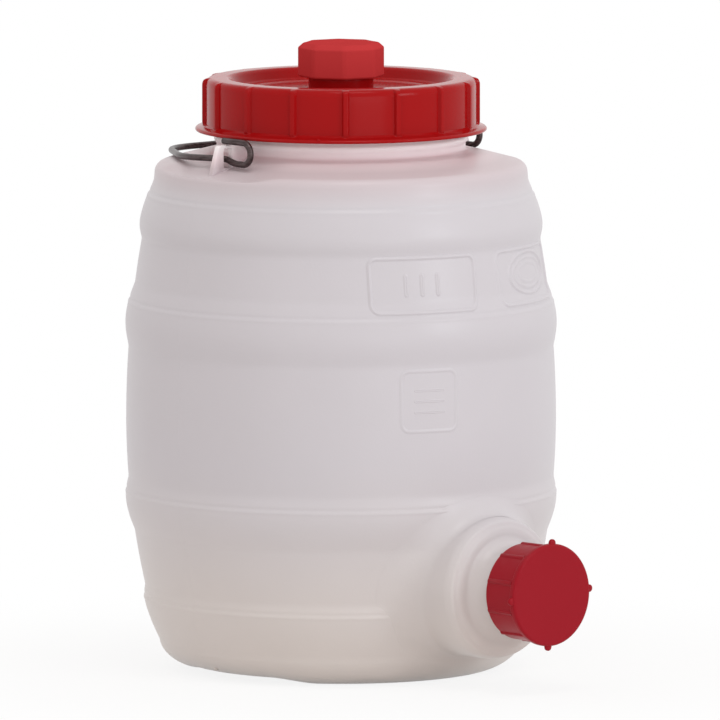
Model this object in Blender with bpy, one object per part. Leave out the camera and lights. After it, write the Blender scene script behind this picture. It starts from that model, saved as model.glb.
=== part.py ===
# Ten-litre drinks barrel: blow-moulded body with hoop-like bands, wide screw lid with a vent cap,
# capped side outlet and a folding wire bail. Metres, +Z up; the outlet points along -Y and the
# origin is the middle of the footprint, on the floor.
import math

import bmesh
import bpy
from mathutils import Vector

# Whole barrel.
belly_radius = 0.1196
shoulder_height = 0.2720
barrel_wall = 0.0022
sides = 44
inner_sides = 26
lid_sides = 36
cap_sides = 32
thread_steps = 20            # per turn
cut_overrun = 0.0100
seat_gap = 0.0003
small_edge = 0.0008

# Side wall: two parabolas that meet at the belly, with four bands standing on them.
belly_height = 0.1400
lower_taper = 0.0235
upper_taper = 0.0155
band_rise = 0.0030
band_shares = (
    # low, crest and high, of the shoulder height, then the rise, of the band rise
    (0.059, 0.136, 0.171, 0.80),
    (0.283, 0.344, 0.393, 0.90),
    (0.660, 0.722, 0.790, 1.00),
    (0.880, 0.921, 0.996, 1.00),
)
band_power = 1.2
band_fade_degrees = 33.0     # half of the front arc that the lowest band is left out of

# Foot and base.
foot_inset = 0.0222          # from the top of the lower corner in to the standing ring
foot_width = 0.0090
base_recess = 0.0050
seam_recess = 0.0024         # the foot is raised beside the mould seam
seam_recess_degrees = 20.0
corner_height = 0.0160
corner_power = 1.7

# Neck and shoulder. The shoulder's two bends lie at shares of the way from the neck to the rim.
neck_radius = 0.0690
neck_wall = 0.0030
shoulder_corner_rise = 0.0113
shoulder_slope_rise = 0.0046
shoulder_edge_share = 0.7123
shoulder_top_share = 0.1994
shoulder_step_share = 0.2    # where the hollow round an ear reaches its full depth
neck_bead_rise = 0.0014
neck_bead_lift = 0.0074      # above the top of the shoulder
rim_radius = belly_radius - upper_taper
shoulder_edge_radius = neck_radius + (rim_radius - neck_radius) * shoulder_edge_share
shoulder_edge_height = shoulder_height + shoulder_corner_rise
shoulder_top_radius = neck_radius + (rim_radius - neck_radius) * shoulder_top_share
shoulder_top_height = shoulder_edge_height + shoulder_slope_rise
neck_bead_height = shoulder_top_height + neck_bead_lift

# Two-start thread of the neck.
thread_lead = 0.0120
thread_start_count = 2
thread_depth = 0.0023
thread_gap = 0.0006
thread_base = 0.0030
thread_tip = 0.0014
thread_run = 0.0135          # height of the thread
thread_drop = 0.0043         # from the neck's rim down to the thread
lid_flange_gap = 0.0040      # from the bead up to the lid
lid_flange_lead = 0.0047     # from the lid's lower edge up to the neck's thread
lid_flange_height = neck_bead_height + lid_flange_gap
thread_low = lid_flange_height + lid_flange_lead
thread_high = thread_low + thread_run
neck_height = thread_high + thread_drop

# Screw lid.
lid_wall = 0.0029
lid_skirt_wall = 0.0033
lid_rib_rise = 0.0013
lid_rib_width = 0.0026
lid_rib_count = 16
lid_rib_phase_degrees = 230.5
lid_flange_rise = 0.0057
lid_rim_width = 0.0101       # from the rim's inner side out to the skirt's inner face
lid_rim_slope = 0.0033
lid_floor_drop = 0.0053
lid_plate_inset = 0.0075
lid_plate_drop = 0.0006
gasket_thickness = 0.0025
lid_top_height = neck_height + 2 * seat_gap + gasket_thickness + lid_wall
lid_floor_height = lid_top_height - lid_floor_drop
lid_skirt_inner = neck_radius + thread_depth + thread_gap
lid_bay_radius = lid_skirt_inner + lid_skirt_wall
lid_flange_radius = lid_bay_radius + lid_flange_rise
lid_rim_inner_radius = lid_skirt_inner - lid_rim_width
lid_floor_radius = lid_rim_inner_radius - lid_rim_slope
lid_plate_radius = lid_floor_radius - lid_plate_inset

# Vent spout, cap and seal.
spout_bore_radius = 0.0130
spout_wall = 0.0030
spout_rise = 0.0206          # above the lid's floor
spout_collar_width = 0.0020
vent_cap_lift = 0.0079       # from the lid's floor up to the cap
vent_cap_wall = 0.0045
vent_corner_rise = 0.0014
vent_cap_roof = 0.0024
vent_corner_degrees = 233.5
vent_seal_thickness = 0.0020
vent_thread_depth = 0.0016
vent_thread_lead = 0.0060
vent_thread_base = 0.0015
vent_thread_tip = 0.0006
vent_clearance = 0.0004
spout_radius = spout_bore_radius + spout_wall
spout_collar_radius = spout_radius + spout_collar_width
spout_top_height = lid_floor_height + spout_rise
vent_cap_bottom = lid_floor_height + vent_cap_lift
vent_cap_top = spout_top_height + 2 * seat_gap + vent_seal_thickness + vent_cap_roof
vent_bore_radius = spout_radius + vent_thread_depth + vent_clearance
vent_flat_radius = vent_bore_radius + vent_cap_wall
vent_corner_radius = vent_flat_radius + vent_corner_rise

# Outlet boss, its spigot, cap and seal. Distances along the outlet run from the barrel's axis.
spigot_bore_radius = 0.0172
spigot_wall = 0.0044
spigot_length = 0.0344
spigot_flare_width = 0.0059
spigot_flare_length = 0.0100
boss_ring_inset = 0.0063
boss_ring_rise = 0.0020
boss_face_width = 0.0177     # from the spigot out to the side of the boss
boss_flare = 0.0067
boss_stand = 0.0154          # of its face beyond the belly
boss_sink = 0.0206           # of its root inside the belly
outlet_lift = 0.0095         # from the floor up to the flare
outlet_margin = 0.0015       # round the flare, on the outlet's own panel of the wall
tap_cap_gap = 0.0147         # from the boss's face to the cap
tap_cap_roof = 0.0030
tap_cap_wall = 0.0028
tap_disc_rise = 0.0017
tap_disc_depth = 0.0036
tap_rib_count = 10
tap_rib_rise = 0.0007
tap_rib_width = 0.0018
tap_nub_count = 4
tap_nub_radius = 0.0020
tap_nub_reach = 0.0026
tap_nub_degrees = 87.0
tap_seal_thickness = 0.0020
tap_thread_lead = 0.0090
tap_thread_depth = 0.0017
tap_thread_base = 0.0024
tap_thread_tip = 0.0011
tap_clearance = 0.0005
hollow_turn_share = 0.25     # of a side, so that the hollow's corners miss the boss's
spigot_radius = spigot_bore_radius + spigot_wall
spigot_flare_radius = spigot_radius + spigot_flare_width
boss_radius = spigot_radius + boss_face_width
boss_ring_radius = boss_radius - boss_ring_inset
boss_face = belly_radius + boss_stand
boss_root = belly_radius - boss_sink
spigot_end = boss_face + spigot_length
spigot_flare_end = boss_face + spigot_flare_length
outlet_height = boss_radius + boss_flare + outlet_lift
panel_half = boss_radius + boss_flare + outlet_margin
tap_bore_radius = spigot_radius + tap_thread_depth + tap_clearance
tap_cap_back = boss_face + tap_cap_gap
tap_cap_face = spigot_end + 2 * seat_gap + tap_seal_thickness + tap_cap_roof
tap_skirt_radius = tap_bore_radius + tap_cap_wall
tap_disc_radius = tap_skirt_radius + tap_disc_rise

# Ears and wire bail.
ear_bar_half = 0.0010
ear_bar_gap = 0.0028         # from the bar up to the level of the lid's lower edge
ear_thickness = 0.0032
ear_hole_width = 0.0056
ear_hole_drop = 0.0106
ear_post_width = 0.0039
ear_foot_spread = 0.0055
ear_recess = 0.0026          # hollow of the shoulder round each ear
ear_recess_degrees = 15.0
wire_radius = 0.0018
wire_clearance = 0.0019      # from the lid's flange to the wire
eye_reach = 0.0205           # from the ear forward to the wire's far bend
eye_rise = 0.0031            # upper strand above the bar's middle
eye_fall = 0.0090            # lower strand below it, at its lowest
hook_fall = 0.0068           # lower strand below it, inside the hole
bail_arm = 0.0380
bail_reach = 0.0950
bail_grip_half = 0.0440
bail_drop = 0.0105           # grip below the bar's middle when folded
pole_forward = 0.0095
pole_rise = 0.00725
ear_bar_height = lid_flange_height - ear_bar_gap - ear_bar_half
eye_x = lid_flange_radius + wire_clearance + wire_radius

# Raised frames on the wall: two wide ones, a square one and an oval ring.
frame_rise = 0.0008
frame_width = 0.0018
frame_corner = 0.0045
wide_frame_half_width = 0.0332
wide_frame_half_height = 0.0150
wide_frame_share = 0.8228    # height of its middle, of the shoulder height
wide_frame_degrees = (-106.5, -65.0)
square_frame_half = 0.0166
square_frame_share = 0.5842
square_frame_degrees = -107.2
oval_half_width = 0.0185
oval_half_height = 0.0112
oval_share = 0.8279

white_plastic = (0.62, 0.60, 0.59, 1.0)
lid_red = (0.50, 0.022, 0.020, 1.0)
cap_red = (0.40, 0.022, 0.026, 1.0)
tap_red = (0.33, 0.014, 0.030, 1.0)
seal_grey = (0.72, 0.71, 0.68, 1.0)
steel_grey = (0.19, 0.18, 0.17, 1.0)


def material(name, colour, roughness, metallic=0.0):
    made = bpy.data.materials.new(name)
    made.use_nodes = True
    shader = made.node_tree.nodes["Principled BSDF"]
    shader.inputs["Base Color"].default_value = colour
    shader.inputs["Roughness"].default_value = roughness
    shader.inputs["Metallic"].default_value = metallic
    made.diffuse_color = colour
    return made


def empty(name, location, parent=None, turn_x=0.0):
    made = bpy.data.objects.new(name, None)
    bpy.context.collection.objects.link(made)
    made.location = location
    made.rotation_euler[0] = turn_x
    made.parent = parent
    return made


def add_object(name, shape, parent, finish=None):
    # Turns a bmesh into an object under its parent empty, faces outwards.
    bmesh.ops.recalc_face_normals(shape, faces=shape.faces)
    mesh = bpy.data.meshes.new(name)
    shape.to_mesh(mesh)
    shape.free()
    made = bpy.data.objects.new(name, mesh)
    bpy.context.collection.objects.link(made)
    made.parent = parent
    if finish:
        mesh.materials.append(finish)
    mesh.shade_smooth()
    mesh.set_sharp_from_angle(angle=math.radians(32))
    return made


def boolean(target, tool, operation):
    tool.hide_render = True
    tool.display_type = "WIRE"
    step = target.modifiers.new(tool.name, "BOOLEAN")
    step.operation = operation
    step.solver = "EXACT"
    step.object = tool


def add_ring(shape, points):
    return [shape.verts.new(point) for point in points]


def join_rings(shape, first, second):
    # Faces between two rings, either of which may be a single point on the axis.
    count = max(len(first), len(second))
    for index in range(count):
        after = (index + 1) % count
        corners = []
        for ring, order in ((first, (index, after)), (second, (after, index))):
            corners += [ring[0]] if len(ring) == 1 else [ring[order[0]], ring[order[1]]]
        shape.faces.new(corners)


def turned(outline, count, closed=False, shift=0.5):
    # Solid of revolution about Z from (radius, height) points, poles where the radius is zero. The
    # shift, in steps, keeps the corners of pieces that are joined away from each other.
    shape = bmesh.new()
    rings = []
    for radius, height in outline:
        if radius == 0:
            rings.append([shape.verts.new((0, 0, height))])
            continue
        angles = [math.tau * (step + shift) / count for step in range(count)]
        corners = [(radius * math.cos(angle), radius * math.sin(angle), height) for angle in angles]
        rings.append(add_ring(shape, corners))
    for first, second in zip(rings, rings[1:]):
        join_rings(shape, first, second)
    if closed:
        join_rings(shape, rings[-1], rings[0])
    return shape


def bend(start, corner, end, steps):
    # Points of a quadratic curve from start to end that leaves and arrives along the corner.
    points = []
    for step in range(steps + 1):
        t = step / steps
        shares = ((1 - t) ** 2, 2 * t * (1 - t), t * t)
        points.append(tuple(shares[0] * a + shares[1] * b + shares[2] * c
                            for a, b, c in zip(start, corner, end)))
    return points


def smooth_step(value):
    t = min(max(value, 0.0), 1.0)
    return t * t * (3 - 2 * t)


def angle_between(angle, centre):
    return abs(math.remainder(angle - centre, math.tau))


def base_radius(height):
    if height < belly_height:
        return belly_radius - lower_taper * ((belly_height - height) / belly_height) ** 2
    return belly_radius - upper_taper * ((height - belly_height) / (shoulder_height - belly_height)) ** 2


def foot_radius():
    return base_radius(corner_height) - foot_inset


def band_bulge(height, band):
    low, crest, high = (share * shoulder_height for share in band[:3])
    span = crest - low if height < crest else high - crest
    t = abs(height - crest) / span
    return band_rise * band[3] * (1 - t * t) ** band_power if t < 1 else 0.0


def wall_radius(height):
    return base_radius(height) + sum(band_bulge(height, band) for band in band_shares)


def wall_heights(band_steps, plain_steps):
    # Heights to sample the side wall at: each band's own steps, then the plain stretch above it.
    heights = []
    for index, band in enumerate(band_shares):
        low, crest, high = (share * shoulder_height for share in band[:3])
        heights += [crest - (crest - low) * step for step in reversed(band_steps)]
        heights += [crest + (high - crest) * step for step in band_steps[1:]]
        if index + 1 < len(band_shares):
            gap = band_shares[index + 1][0] * shoulder_height - high
            count = plain_steps[index]
            heights += [high + gap * (step + 1) / (count + 1) for step in range(count)]
    return heights


def barrel_outline(inset, corner_steps, band_steps, plain_steps, bend_steps):
    # Half section from the foot up to the foot of the neck, moved inwards by the inset.
    points = []
    for step in range(corner_steps):
        t = step / corner_steps
        rise = corner_height * t
        share = (1 - (1 - t) ** corner_power) ** (1 / corner_power)
        points.append((foot_radius() + foot_inset * share, rise))
    points += [(wall_radius(height), height) for height in wall_heights(band_steps, plain_steps)]
    rim = (base_radius(shoulder_height), shoulder_height)
    edge = (shoulder_edge_radius, shoulder_edge_height)
    top = (shoulder_top_radius, shoulder_top_height)
    slope = (top[1] - edge[1]) / (edge[0] - top[0])
    corner = (rim[0] - small_edge, edge[1] - slope * (rim[0] - edge[0]))
    points += bend(rim, corner, edge, bend_steps)
    points.append(tuple(a + (b - a) * shoulder_step_share for a, b in zip(top, edge)))
    points.append(top)
    waist = (neck_radius, neck_bead_height - 2 * neck_bead_rise)
    points += bend(top, (neck_radius, top[1] + neck_bead_rise), waist, bend_steps - 1)[1:]
    if not inset:
        return points
    moved = []
    for index, (radius, height) in enumerate(points):
        before = points[max(index - 1, 0)]
        after = points[min(index + 1, len(points) - 1)]
        along = Vector((after[0] - before[0], after[1] - before[1])).normalized()
        moved.append((radius - along.y * inset, height + along.x * inset))
    return moved


def mould_details(shape, wall):
    # Fades the lowest band out at the boss, raises the foot beside the seam and hollows the
    # shoulder at the ears.
    low_band = band_shares[0]
    for vert in shape.verts:
        radius = math.hypot(vert.co.x, vert.co.y)
        if radius < foot_radius() - foot_width - wall:
            continue
        angle = math.atan2(vert.co.y, vert.co.x)
        from_outlet = angle_between(angle, -math.pi / 2)
        from_seam = min(angle_between(angle, 0.0), angle_between(angle, math.pi))
        fade = smooth_step(3 - 3 * from_outlet / math.radians(band_fade_degrees))
        height = vert.co.z
        shrink = band_bulge(height, low_band) * fade
        scale = (radius - shrink) / radius
        vert.co.x *= scale
        vert.co.y *= scale
        if height < corner_height:
            near = smooth_step(2 - from_seam / math.radians(seam_recess_degrees))
            vert.co.z += seam_recess * near * (1 - height / corner_height)
        if height > shoulder_height and radius > shoulder_top_radius - wall:
            slope_width = shoulder_edge_radius - shoulder_top_radius
            across = min(radius - shoulder_top_radius, base_radius(shoulder_height) - radius)
            reach = smooth_step(across / (slope_width * shoulder_step_share))
            near = smooth_step(2 - from_seam / math.radians(ear_recess_degrees))
            vert.co.z -= ear_recess * near * reach


def thread_ridge(core, depth, base, tip, lead, starts, low, high, phase, steps_per_turn):
    # Helical ridges with tapered ends; a negative depth points inwards, as in a cap.
    shape = bmesh.new()
    bite = math.copysign(thread_gap, depth)
    count = max(6, round(steps_per_turn * (high - low) / lead))
    # The middle of each flat keeps the radius asked for on a ridge that points inwards.
    widen = 1.0 if depth > 0 else 1 / math.cos(math.pi * (high - low) / lead / count)
    for start in range(starts):
        sections = []
        for step in range(count + 1):
            height = low + (high - low) * step / count
            angle = phase + math.tau * ((height - low) / lead + start / starts)
            share = min(1.0, 0.15 + 0.45 * min(step, count - step))
            reach = core + depth * share
            profile = ((core - bite, -base / 2), (reach, -tip / 2), (reach, tip / 2),
                       (core - bite, base / 2))
            sections.append(add_ring(shape, [
                (r * widen * math.cos(angle), r * widen * math.sin(angle), height + z)
                for r, z in profile]))
        for first, second in zip(sections, sections[1:]):
            join_rings(shape, first, second)
        shape.faces.new(sections[0])
        shape.faces.new(sections[-1])
    return shape


def mating_phase(low, own_low, lead, starts):
    # Turns a cap's ridges so that they run halfway between the ridges they screw onto.
    return math.tau / lead * (own_low - low - lead / starts / 2)


def prism(shape, outline, low, high):
    # Adds an upright prism over an outline of (x, y) points.
    lower = add_ring(shape, [(x, y, low) for x, y in outline])
    upper = add_ring(shape, [(x, y, high) for x, y in outline])
    join_rings(shape, lower, upper)
    shape.faces.new(lower)
    shape.faces.new(upper)


def ribs(inner, outer, width, low, high, count, phase, top_slope=0.0):
    # Upright ribs round a skirt, a little narrower outside, with a sloped upper end.
    shape = bmesh.new()
    for index in range(count):
        angle = phase + math.tau * index / count
        out = Vector((math.cos(angle), math.sin(angle), 0))
        side = Vector((-math.sin(angle), math.cos(angle), 0))
        levels = []
        for height, reach in ((low, outer), (high - top_slope, outer), (high, outer - top_slope / 2)):
            points = [out * inner - side * width * 0.65, out * reach - side * width * 0.4,
                      out * reach + side * width * 0.4, out * inner + side * width * 0.65]
            levels.append(add_ring(shape, [point + Vector((0, 0, height)) for point in points]))
        if top_slope == 0:
            levels.pop()
        for first, second in zip(levels, levels[1:]):
            join_rings(shape, first, second)
        shape.faces.new(levels[0])
        shape.faces.new(levels[-1])
    return shape


def seal_ring(inner, outer, low, high, count):
    edge = (high - low) / 5
    return turned([(inner + edge, low), (outer - edge, low), (outer, low + edge), (outer, high - edge),
                   (outer - edge, high), (inner + edge, high), (inner, high - edge), (inner, low + edge)],
                  count, closed=True)


def rounded_frame(half_width, half_height, corner, steps):
    # Outline of a rectangle with round corners, as (across, up) points.
    points = []
    for index, (side_x, side_y) in enumerate(((1, 1), (-1, 1), (-1, -1), (1, -1))):
        for step in range(steps + 1):
            angle = math.pi / 2 * (index + step / steps)
            points.append((side_x * (half_width - corner) + corner * math.cos(angle),
                           side_y * (half_height - corner) + corner * math.sin(angle)))
    return points


def spread(outline, count):
    # Adds points to the straight runs of a closed outline so that no run is longer than its share.
    total = sum(math.dist(a, b) for a, b in zip(outline, outline[1:] + outline[:1]))
    points = []
    for a, b in zip(outline, outline[1:] + outline[:1]):
        pieces = max(1, math.ceil(math.dist(a, b) / (total / count)))
        points += [tuple(p + (q - p) * step / pieces for p, q in zip(a, b)) for step in range(pieces)]
    return points


def wall_bead(shape, outline, degrees, height):
    # A low raised bead along an outline that is wrapped onto the side wall.
    centre = math.radians(degrees)
    half = frame_width / 2
    count = len(outline)
    sections = []
    for index, (across, up) in enumerate(outline):
        before = Vector(outline[index - 1])
        after = Vector(outline[(index + 1) % count])
        along = (after - before).normalized()
        normal = Vector((along.y, -along.x))
        corners = []
        for offset, rise in ((-half, -frame_width), (-half / 2, frame_rise),
                             (half / 2, frame_rise), (half, -frame_width)):
            place = Vector((across, up)) + normal * offset
            level = height + place.y
            radius = wall_radius(level)
            angle = centre + place.x / radius
            corners.append(((radius + rise) * math.cos(angle), (radius + rise) * math.sin(angle), level))
        sections.append(add_ring(shape, corners))
    for index in range(count):
        join_rings(shape, sections[index], sections[(index + 1) % count])


def build_frames(parent):
    shape = bmesh.new()
    wide = rounded_frame(wide_frame_half_width, wide_frame_half_height, frame_corner, 2)
    square = rounded_frame(square_frame_half, square_frame_half, frame_corner, 2)
    for degrees in wide_frame_degrees:
        wall_bead(shape, spread(wide, 20), degrees, wide_frame_share * shoulder_height)
    wall_bead(shape, spread(square, 8), square_frame_degrees, square_frame_share * shoulder_height)
    turns = [math.tau * step / 18 for step in range(18)]
    oval = [(oval_half_width * math.cos(turn), oval_half_height * math.sin(turn)) for turn in turns]
    wall_bead(shape, oval, wide_frame_degrees[1], oval_share * shoulder_height)
    return add_object("wall_frames", shape, parent)


def build_ears(parent):
    # Two upright webs in the mould's parting plane, each with a bar on top and a hole below it.
    top = ear_bar_height + ear_bar_half
    hole_outer = eye_x + ear_hole_width / 2
    post = hole_outer + ear_post_width
    bottom = shoulder_edge_height - ear_recess - barrel_wall
    outline = ((neck_radius - neck_wall / 2, top), (post, top), (post + ear_foot_spread, bottom),
               (neck_radius - neck_wall / 2, bottom))
    hole_top = top - 2 * ear_bar_half
    hole_low = hole_top - ear_hole_drop
    hole_inner = hole_outer - ear_hole_width
    opening = ((hole_outer, hole_top), (hole_outer, hole_low),
               (hole_inner, hole_low), (hole_inner, hole_top))
    webs = bmesh.new()
    holes = bmesh.new()
    for side in (1, -1):
        for shape, points, half in ((webs, outline, ear_thickness / 2), (holes, opening, ear_thickness)):
            front = add_ring(shape, [(side * x, -half, z) for x, z in points])
            back = add_ring(shape, [(side * x, half, z) for x, z in points])
            join_rings(shape, front, back)
            shape.faces.new(front)
            shape.faces.new(back)
    return add_object("ear_webs", webs, parent), add_object("ear_holes", holes, parent)


def region(name, half_x, low_y, high_y, low_z, high_z, axis, finish=None):
    # An upright block that one part of the barrel is taken from.
    shape = bmesh.new()
    corners = [(-half_x, low_y), (half_x, low_y), (half_x, high_y), (-half_x, high_y)]
    prism(shape, corners, low_z, high_z)
    return add_object(name, shape, axis, finish)


def build_barrel(axis, outlet, finish):
    # The whole moulding is made first and then taken apart into the two halves of its side wall,
    # its base, neck, outlet boss and spigot, a seat gap from each other, so that each is simple.
    ring_inner = foot_radius() - foot_width
    outline = [(0, base_recess), (ring_inner - base_recess, base_recess), (ring_inner, 0)]
    outline += barrel_outline(0, 5, (0.0, 0.55, 1.0), (1, 2, 0), 3)
    crest = neck_radius + neck_bead_rise
    outline += [(crest, neck_bead_height - neck_bead_rise / 2),
                (crest, neck_bead_height + neck_bead_rise / 2),
                (neck_radius, neck_bead_height + 2 * neck_bead_rise), (neck_radius, neck_height - seat_gap),
                (neck_radius - seat_gap, neck_height), (0, neck_height)]
    outer = turned(outline, sides, shift=0.0)
    mould_details(outer, 0.0)
    barrel = add_object("barrel_moulding", outer, axis)

    floor = base_recess + barrel_wall
    cavity_outline = [(0, floor), (ring_inner - floor, floor)]
    cavity_outline += barrel_outline(barrel_wall, 3, (0.0, 1.0), (0, 1, 0), 2)[:-1]
    cavity_outline += [(neck_radius - neck_wall, neck_bead_height),
                       (neck_radius - neck_wall, neck_height + cut_overrun), (0, neck_height + cut_overrun)]
    inner = turned(cavity_outline, inner_sides)
    mould_details(inner, barrel_wall)
    cavity = add_object("barrel_cavity", inner, axis)

    flare = bend((boss_radius + boss_flare, boss_root), (boss_radius, boss_root + boss_flare * 1.5),
                 (boss_radius, boss_face - boss_flare), 4)
    face_edge = bend((boss_radius, boss_face - boss_flare), (boss_radius, boss_face),
                     (boss_ring_radius + boss_ring_rise, boss_face), 4)[1:]
    ring = [(boss_ring_radius, boss_face + boss_ring_rise * 0.8),
            (boss_ring_radius - boss_ring_rise, boss_face + boss_ring_rise),
            (spigot_flare_radius + boss_ring_rise, boss_face + boss_ring_rise / 2)]
    neck = bend((spigot_flare_radius, boss_face + boss_ring_rise),
                (spigot_radius, boss_face + 2 * boss_ring_rise), (spigot_radius, spigot_flare_end), 3)
    boss_outline = [(0, boss_root)] + flare + face_edge + ring + neck
    boss_outline += [(spigot_radius, spigot_end - seat_gap), (spigot_radius - seat_gap, spigot_end),
                     (0, spigot_end)]
    boss = add_object("boss_solid", turned(boss_outline, cap_sides), outlet)

    hollow_radius = boss_radius - barrel_wall
    hollow_outline = [(0, boss_root - cut_overrun), (hollow_radius, boss_root - cut_overrun),
                      (hollow_radius, boss_face - boss_flare - barrel_wall),
                      (hollow_radius - boss_flare / 2, boss_face - barrel_wall),
                      (spigot_bore_radius + boss_flare, boss_face - barrel_wall),
                      (spigot_bore_radius, boss_face + boss_flare),
                      (spigot_bore_radius, spigot_end + cut_overrun), (0, spigot_end + cut_overrun)]
    hollow = add_object("outlet_hollow", turned(hollow_outline, cap_sides, shift=hollow_turn_share), outlet)

    threads = add_object("neck_threads", thread_ridge(
        neck_radius, thread_depth, thread_base, thread_tip, thread_lead, thread_start_count,
        thread_low, thread_high, 0.0, thread_steps), axis)
    tap_threads = add_object("spigot_threads", thread_ridge(
        spigot_radius, tap_thread_depth, tap_thread_base, tap_thread_tip, tap_thread_lead,
        thread_start_count, tap_cap_back + tap_thread_base, spigot_end - tap_thread_base, 0.0,
        thread_steps), outlet)
    webs, holes = build_ears(axis)
    for tool in (boss, webs, threads, tap_threads, build_frames(axis)):
        boolean(barrel, tool, "UNION")
    for tool in (cavity, hollow, holes):
        boolean(barrel, tool, "DIFFERENCE")

    reach = tap_cap_face
    half_gap = seat_gap / 2
    base_top = outlet_height - panel_half
    panel_top = outlet_height + panel_half
    wall_top = shoulder_height + neck_bead_rise
    spigot_foot = boss_face + boss_flare
    front = region("barrel_front", reach, -reach, -half_gap, base_top + half_gap, wall_top - half_gap, axis,
                   finish)
    rear = region("barrel_rear", reach, half_gap, reach, base_top + half_gap, wall_top - half_gap, axis,
                  finish)
    base = region("barrel_base", reach, -reach, reach, -cut_overrun, base_top - half_gap, axis, finish)
    neck = region("barrel_neck", reach, -reach, reach, wall_top + half_gap, neck_height + cut_overrun, axis,
                  finish)
    panel = region("outlet_boss", panel_half - half_gap, -spigot_foot + half_gap, -panel_half,
                   base_top + half_gap, panel_top - half_gap, axis, finish)
    spigot = region("spigot", panel_half - half_gap, -reach, -spigot_foot - half_gap, base_top + half_gap,
                    panel_top - half_gap, axis, finish)
    window = region("outlet_window", panel_half + half_gap, -reach - cut_overrun, -panel_half,
                    base_top - cut_overrun, panel_top + half_gap, axis)
    for part in (front, rear, base, neck, panel, spigot):
        boolean(part, barrel, "INTERSECT")
    boolean(front, window, "DIFFERENCE")


def build_lid(axis, finish):
    rib_radius = lid_bay_radius + lid_rib_rise
    plug_radius = lid_rim_inner_radius + lid_wall - seat_gap * 4
    roof = lid_top_height - lid_wall
    bottom = lid_floor_height - lid_wall
    edge = small_edge
    outline = [(spout_bore_radius, bottom), (spout_bore_radius, spout_top_height),
               (spout_radius, spout_top_height), (spout_radius, vent_cap_bottom - seat_gap),
               (spout_collar_radius, vent_cap_bottom - seat_gap), (spout_collar_radius, lid_floor_height),
               (spout_collar_radius + edge, lid_floor_height - lid_plate_drop),
               (lid_plate_radius, lid_floor_height - lid_plate_drop),
               (lid_plate_radius + lid_plate_drop, lid_floor_height), (lid_floor_radius, lid_floor_height)]
    outline += bend((lid_floor_radius + edge, lid_floor_height + edge),
                    (lid_rim_inner_radius, lid_top_height),
                    (lid_rim_inner_radius + 2 * edge, lid_top_height), 3)
    outline += bend((lid_bay_radius - lid_wall * 1.6, lid_top_height), (rib_radius, lid_top_height),
                    (rib_radius, lid_top_height - lid_wall * 2.4), 4)
    outline += bend((lid_bay_radius, lid_top_height - lid_wall * 3.2),
                    (lid_bay_radius, lid_flange_height + lid_wall * 0.7),
                    (lid_flange_radius - edge / 2, lid_flange_height + edge * 2), 4)
    outline += [(lid_flange_radius, lid_flange_height + edge),
                (lid_flange_radius - edge / 2, lid_flange_height), (lid_skirt_inner, lid_flange_height),
                (lid_skirt_inner, roof - edge * 1.5), (lid_skirt_inner - edge * 1.5, roof),
                (plug_radius + edge, roof), (plug_radius, roof - edge), (plug_radius, bottom),
                (plug_radius - lid_wall, bottom - edge), (lid_floor_radius - lid_wall, bottom)]
    lid = add_object("screw_lid", turned(outline, lid_sides, closed=True), axis, finish)
    grip = ribs(lid_bay_radius - lid_rib_rise, rib_radius, lid_rib_width, lid_flange_height + edge,
                lid_top_height - lid_wall * 2, lid_rib_count, math.radians(lid_rib_phase_degrees), edge)
    own_low = thread_low - thread_base
    threads = thread_ridge(
        lid_skirt_inner, -thread_depth, thread_base, thread_tip, thread_lead, thread_start_count, own_low,
        thread_high - thread_base, mating_phase(thread_low, own_low, thread_lead, thread_start_count),
        thread_steps)
    vent_threads = thread_ridge(
        spout_radius, vent_thread_depth, vent_thread_base, vent_thread_tip, vent_thread_lead,
        thread_start_count, vent_cap_bottom + vent_thread_base, spout_top_height - vent_thread_base, 0.0,
        thread_steps)
    boolean(lid, add_object("lid_ribs", grip, axis), "UNION")
    boolean(lid, add_object("lid_threads", threads, axis), "UNION")
    boolean(lid, add_object("vent_spout_threads", vent_threads, axis), "UNION")


def build_gasket(axis, finish):
    inner = lid_rim_inner_radius + lid_wall
    outer = neck_radius + thread_depth - thread_gap
    low = neck_height + seat_gap
    add_object("lid_gasket", seal_ring(inner, outer, low, low + gasket_thickness, lid_sides), axis, finish)


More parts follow.
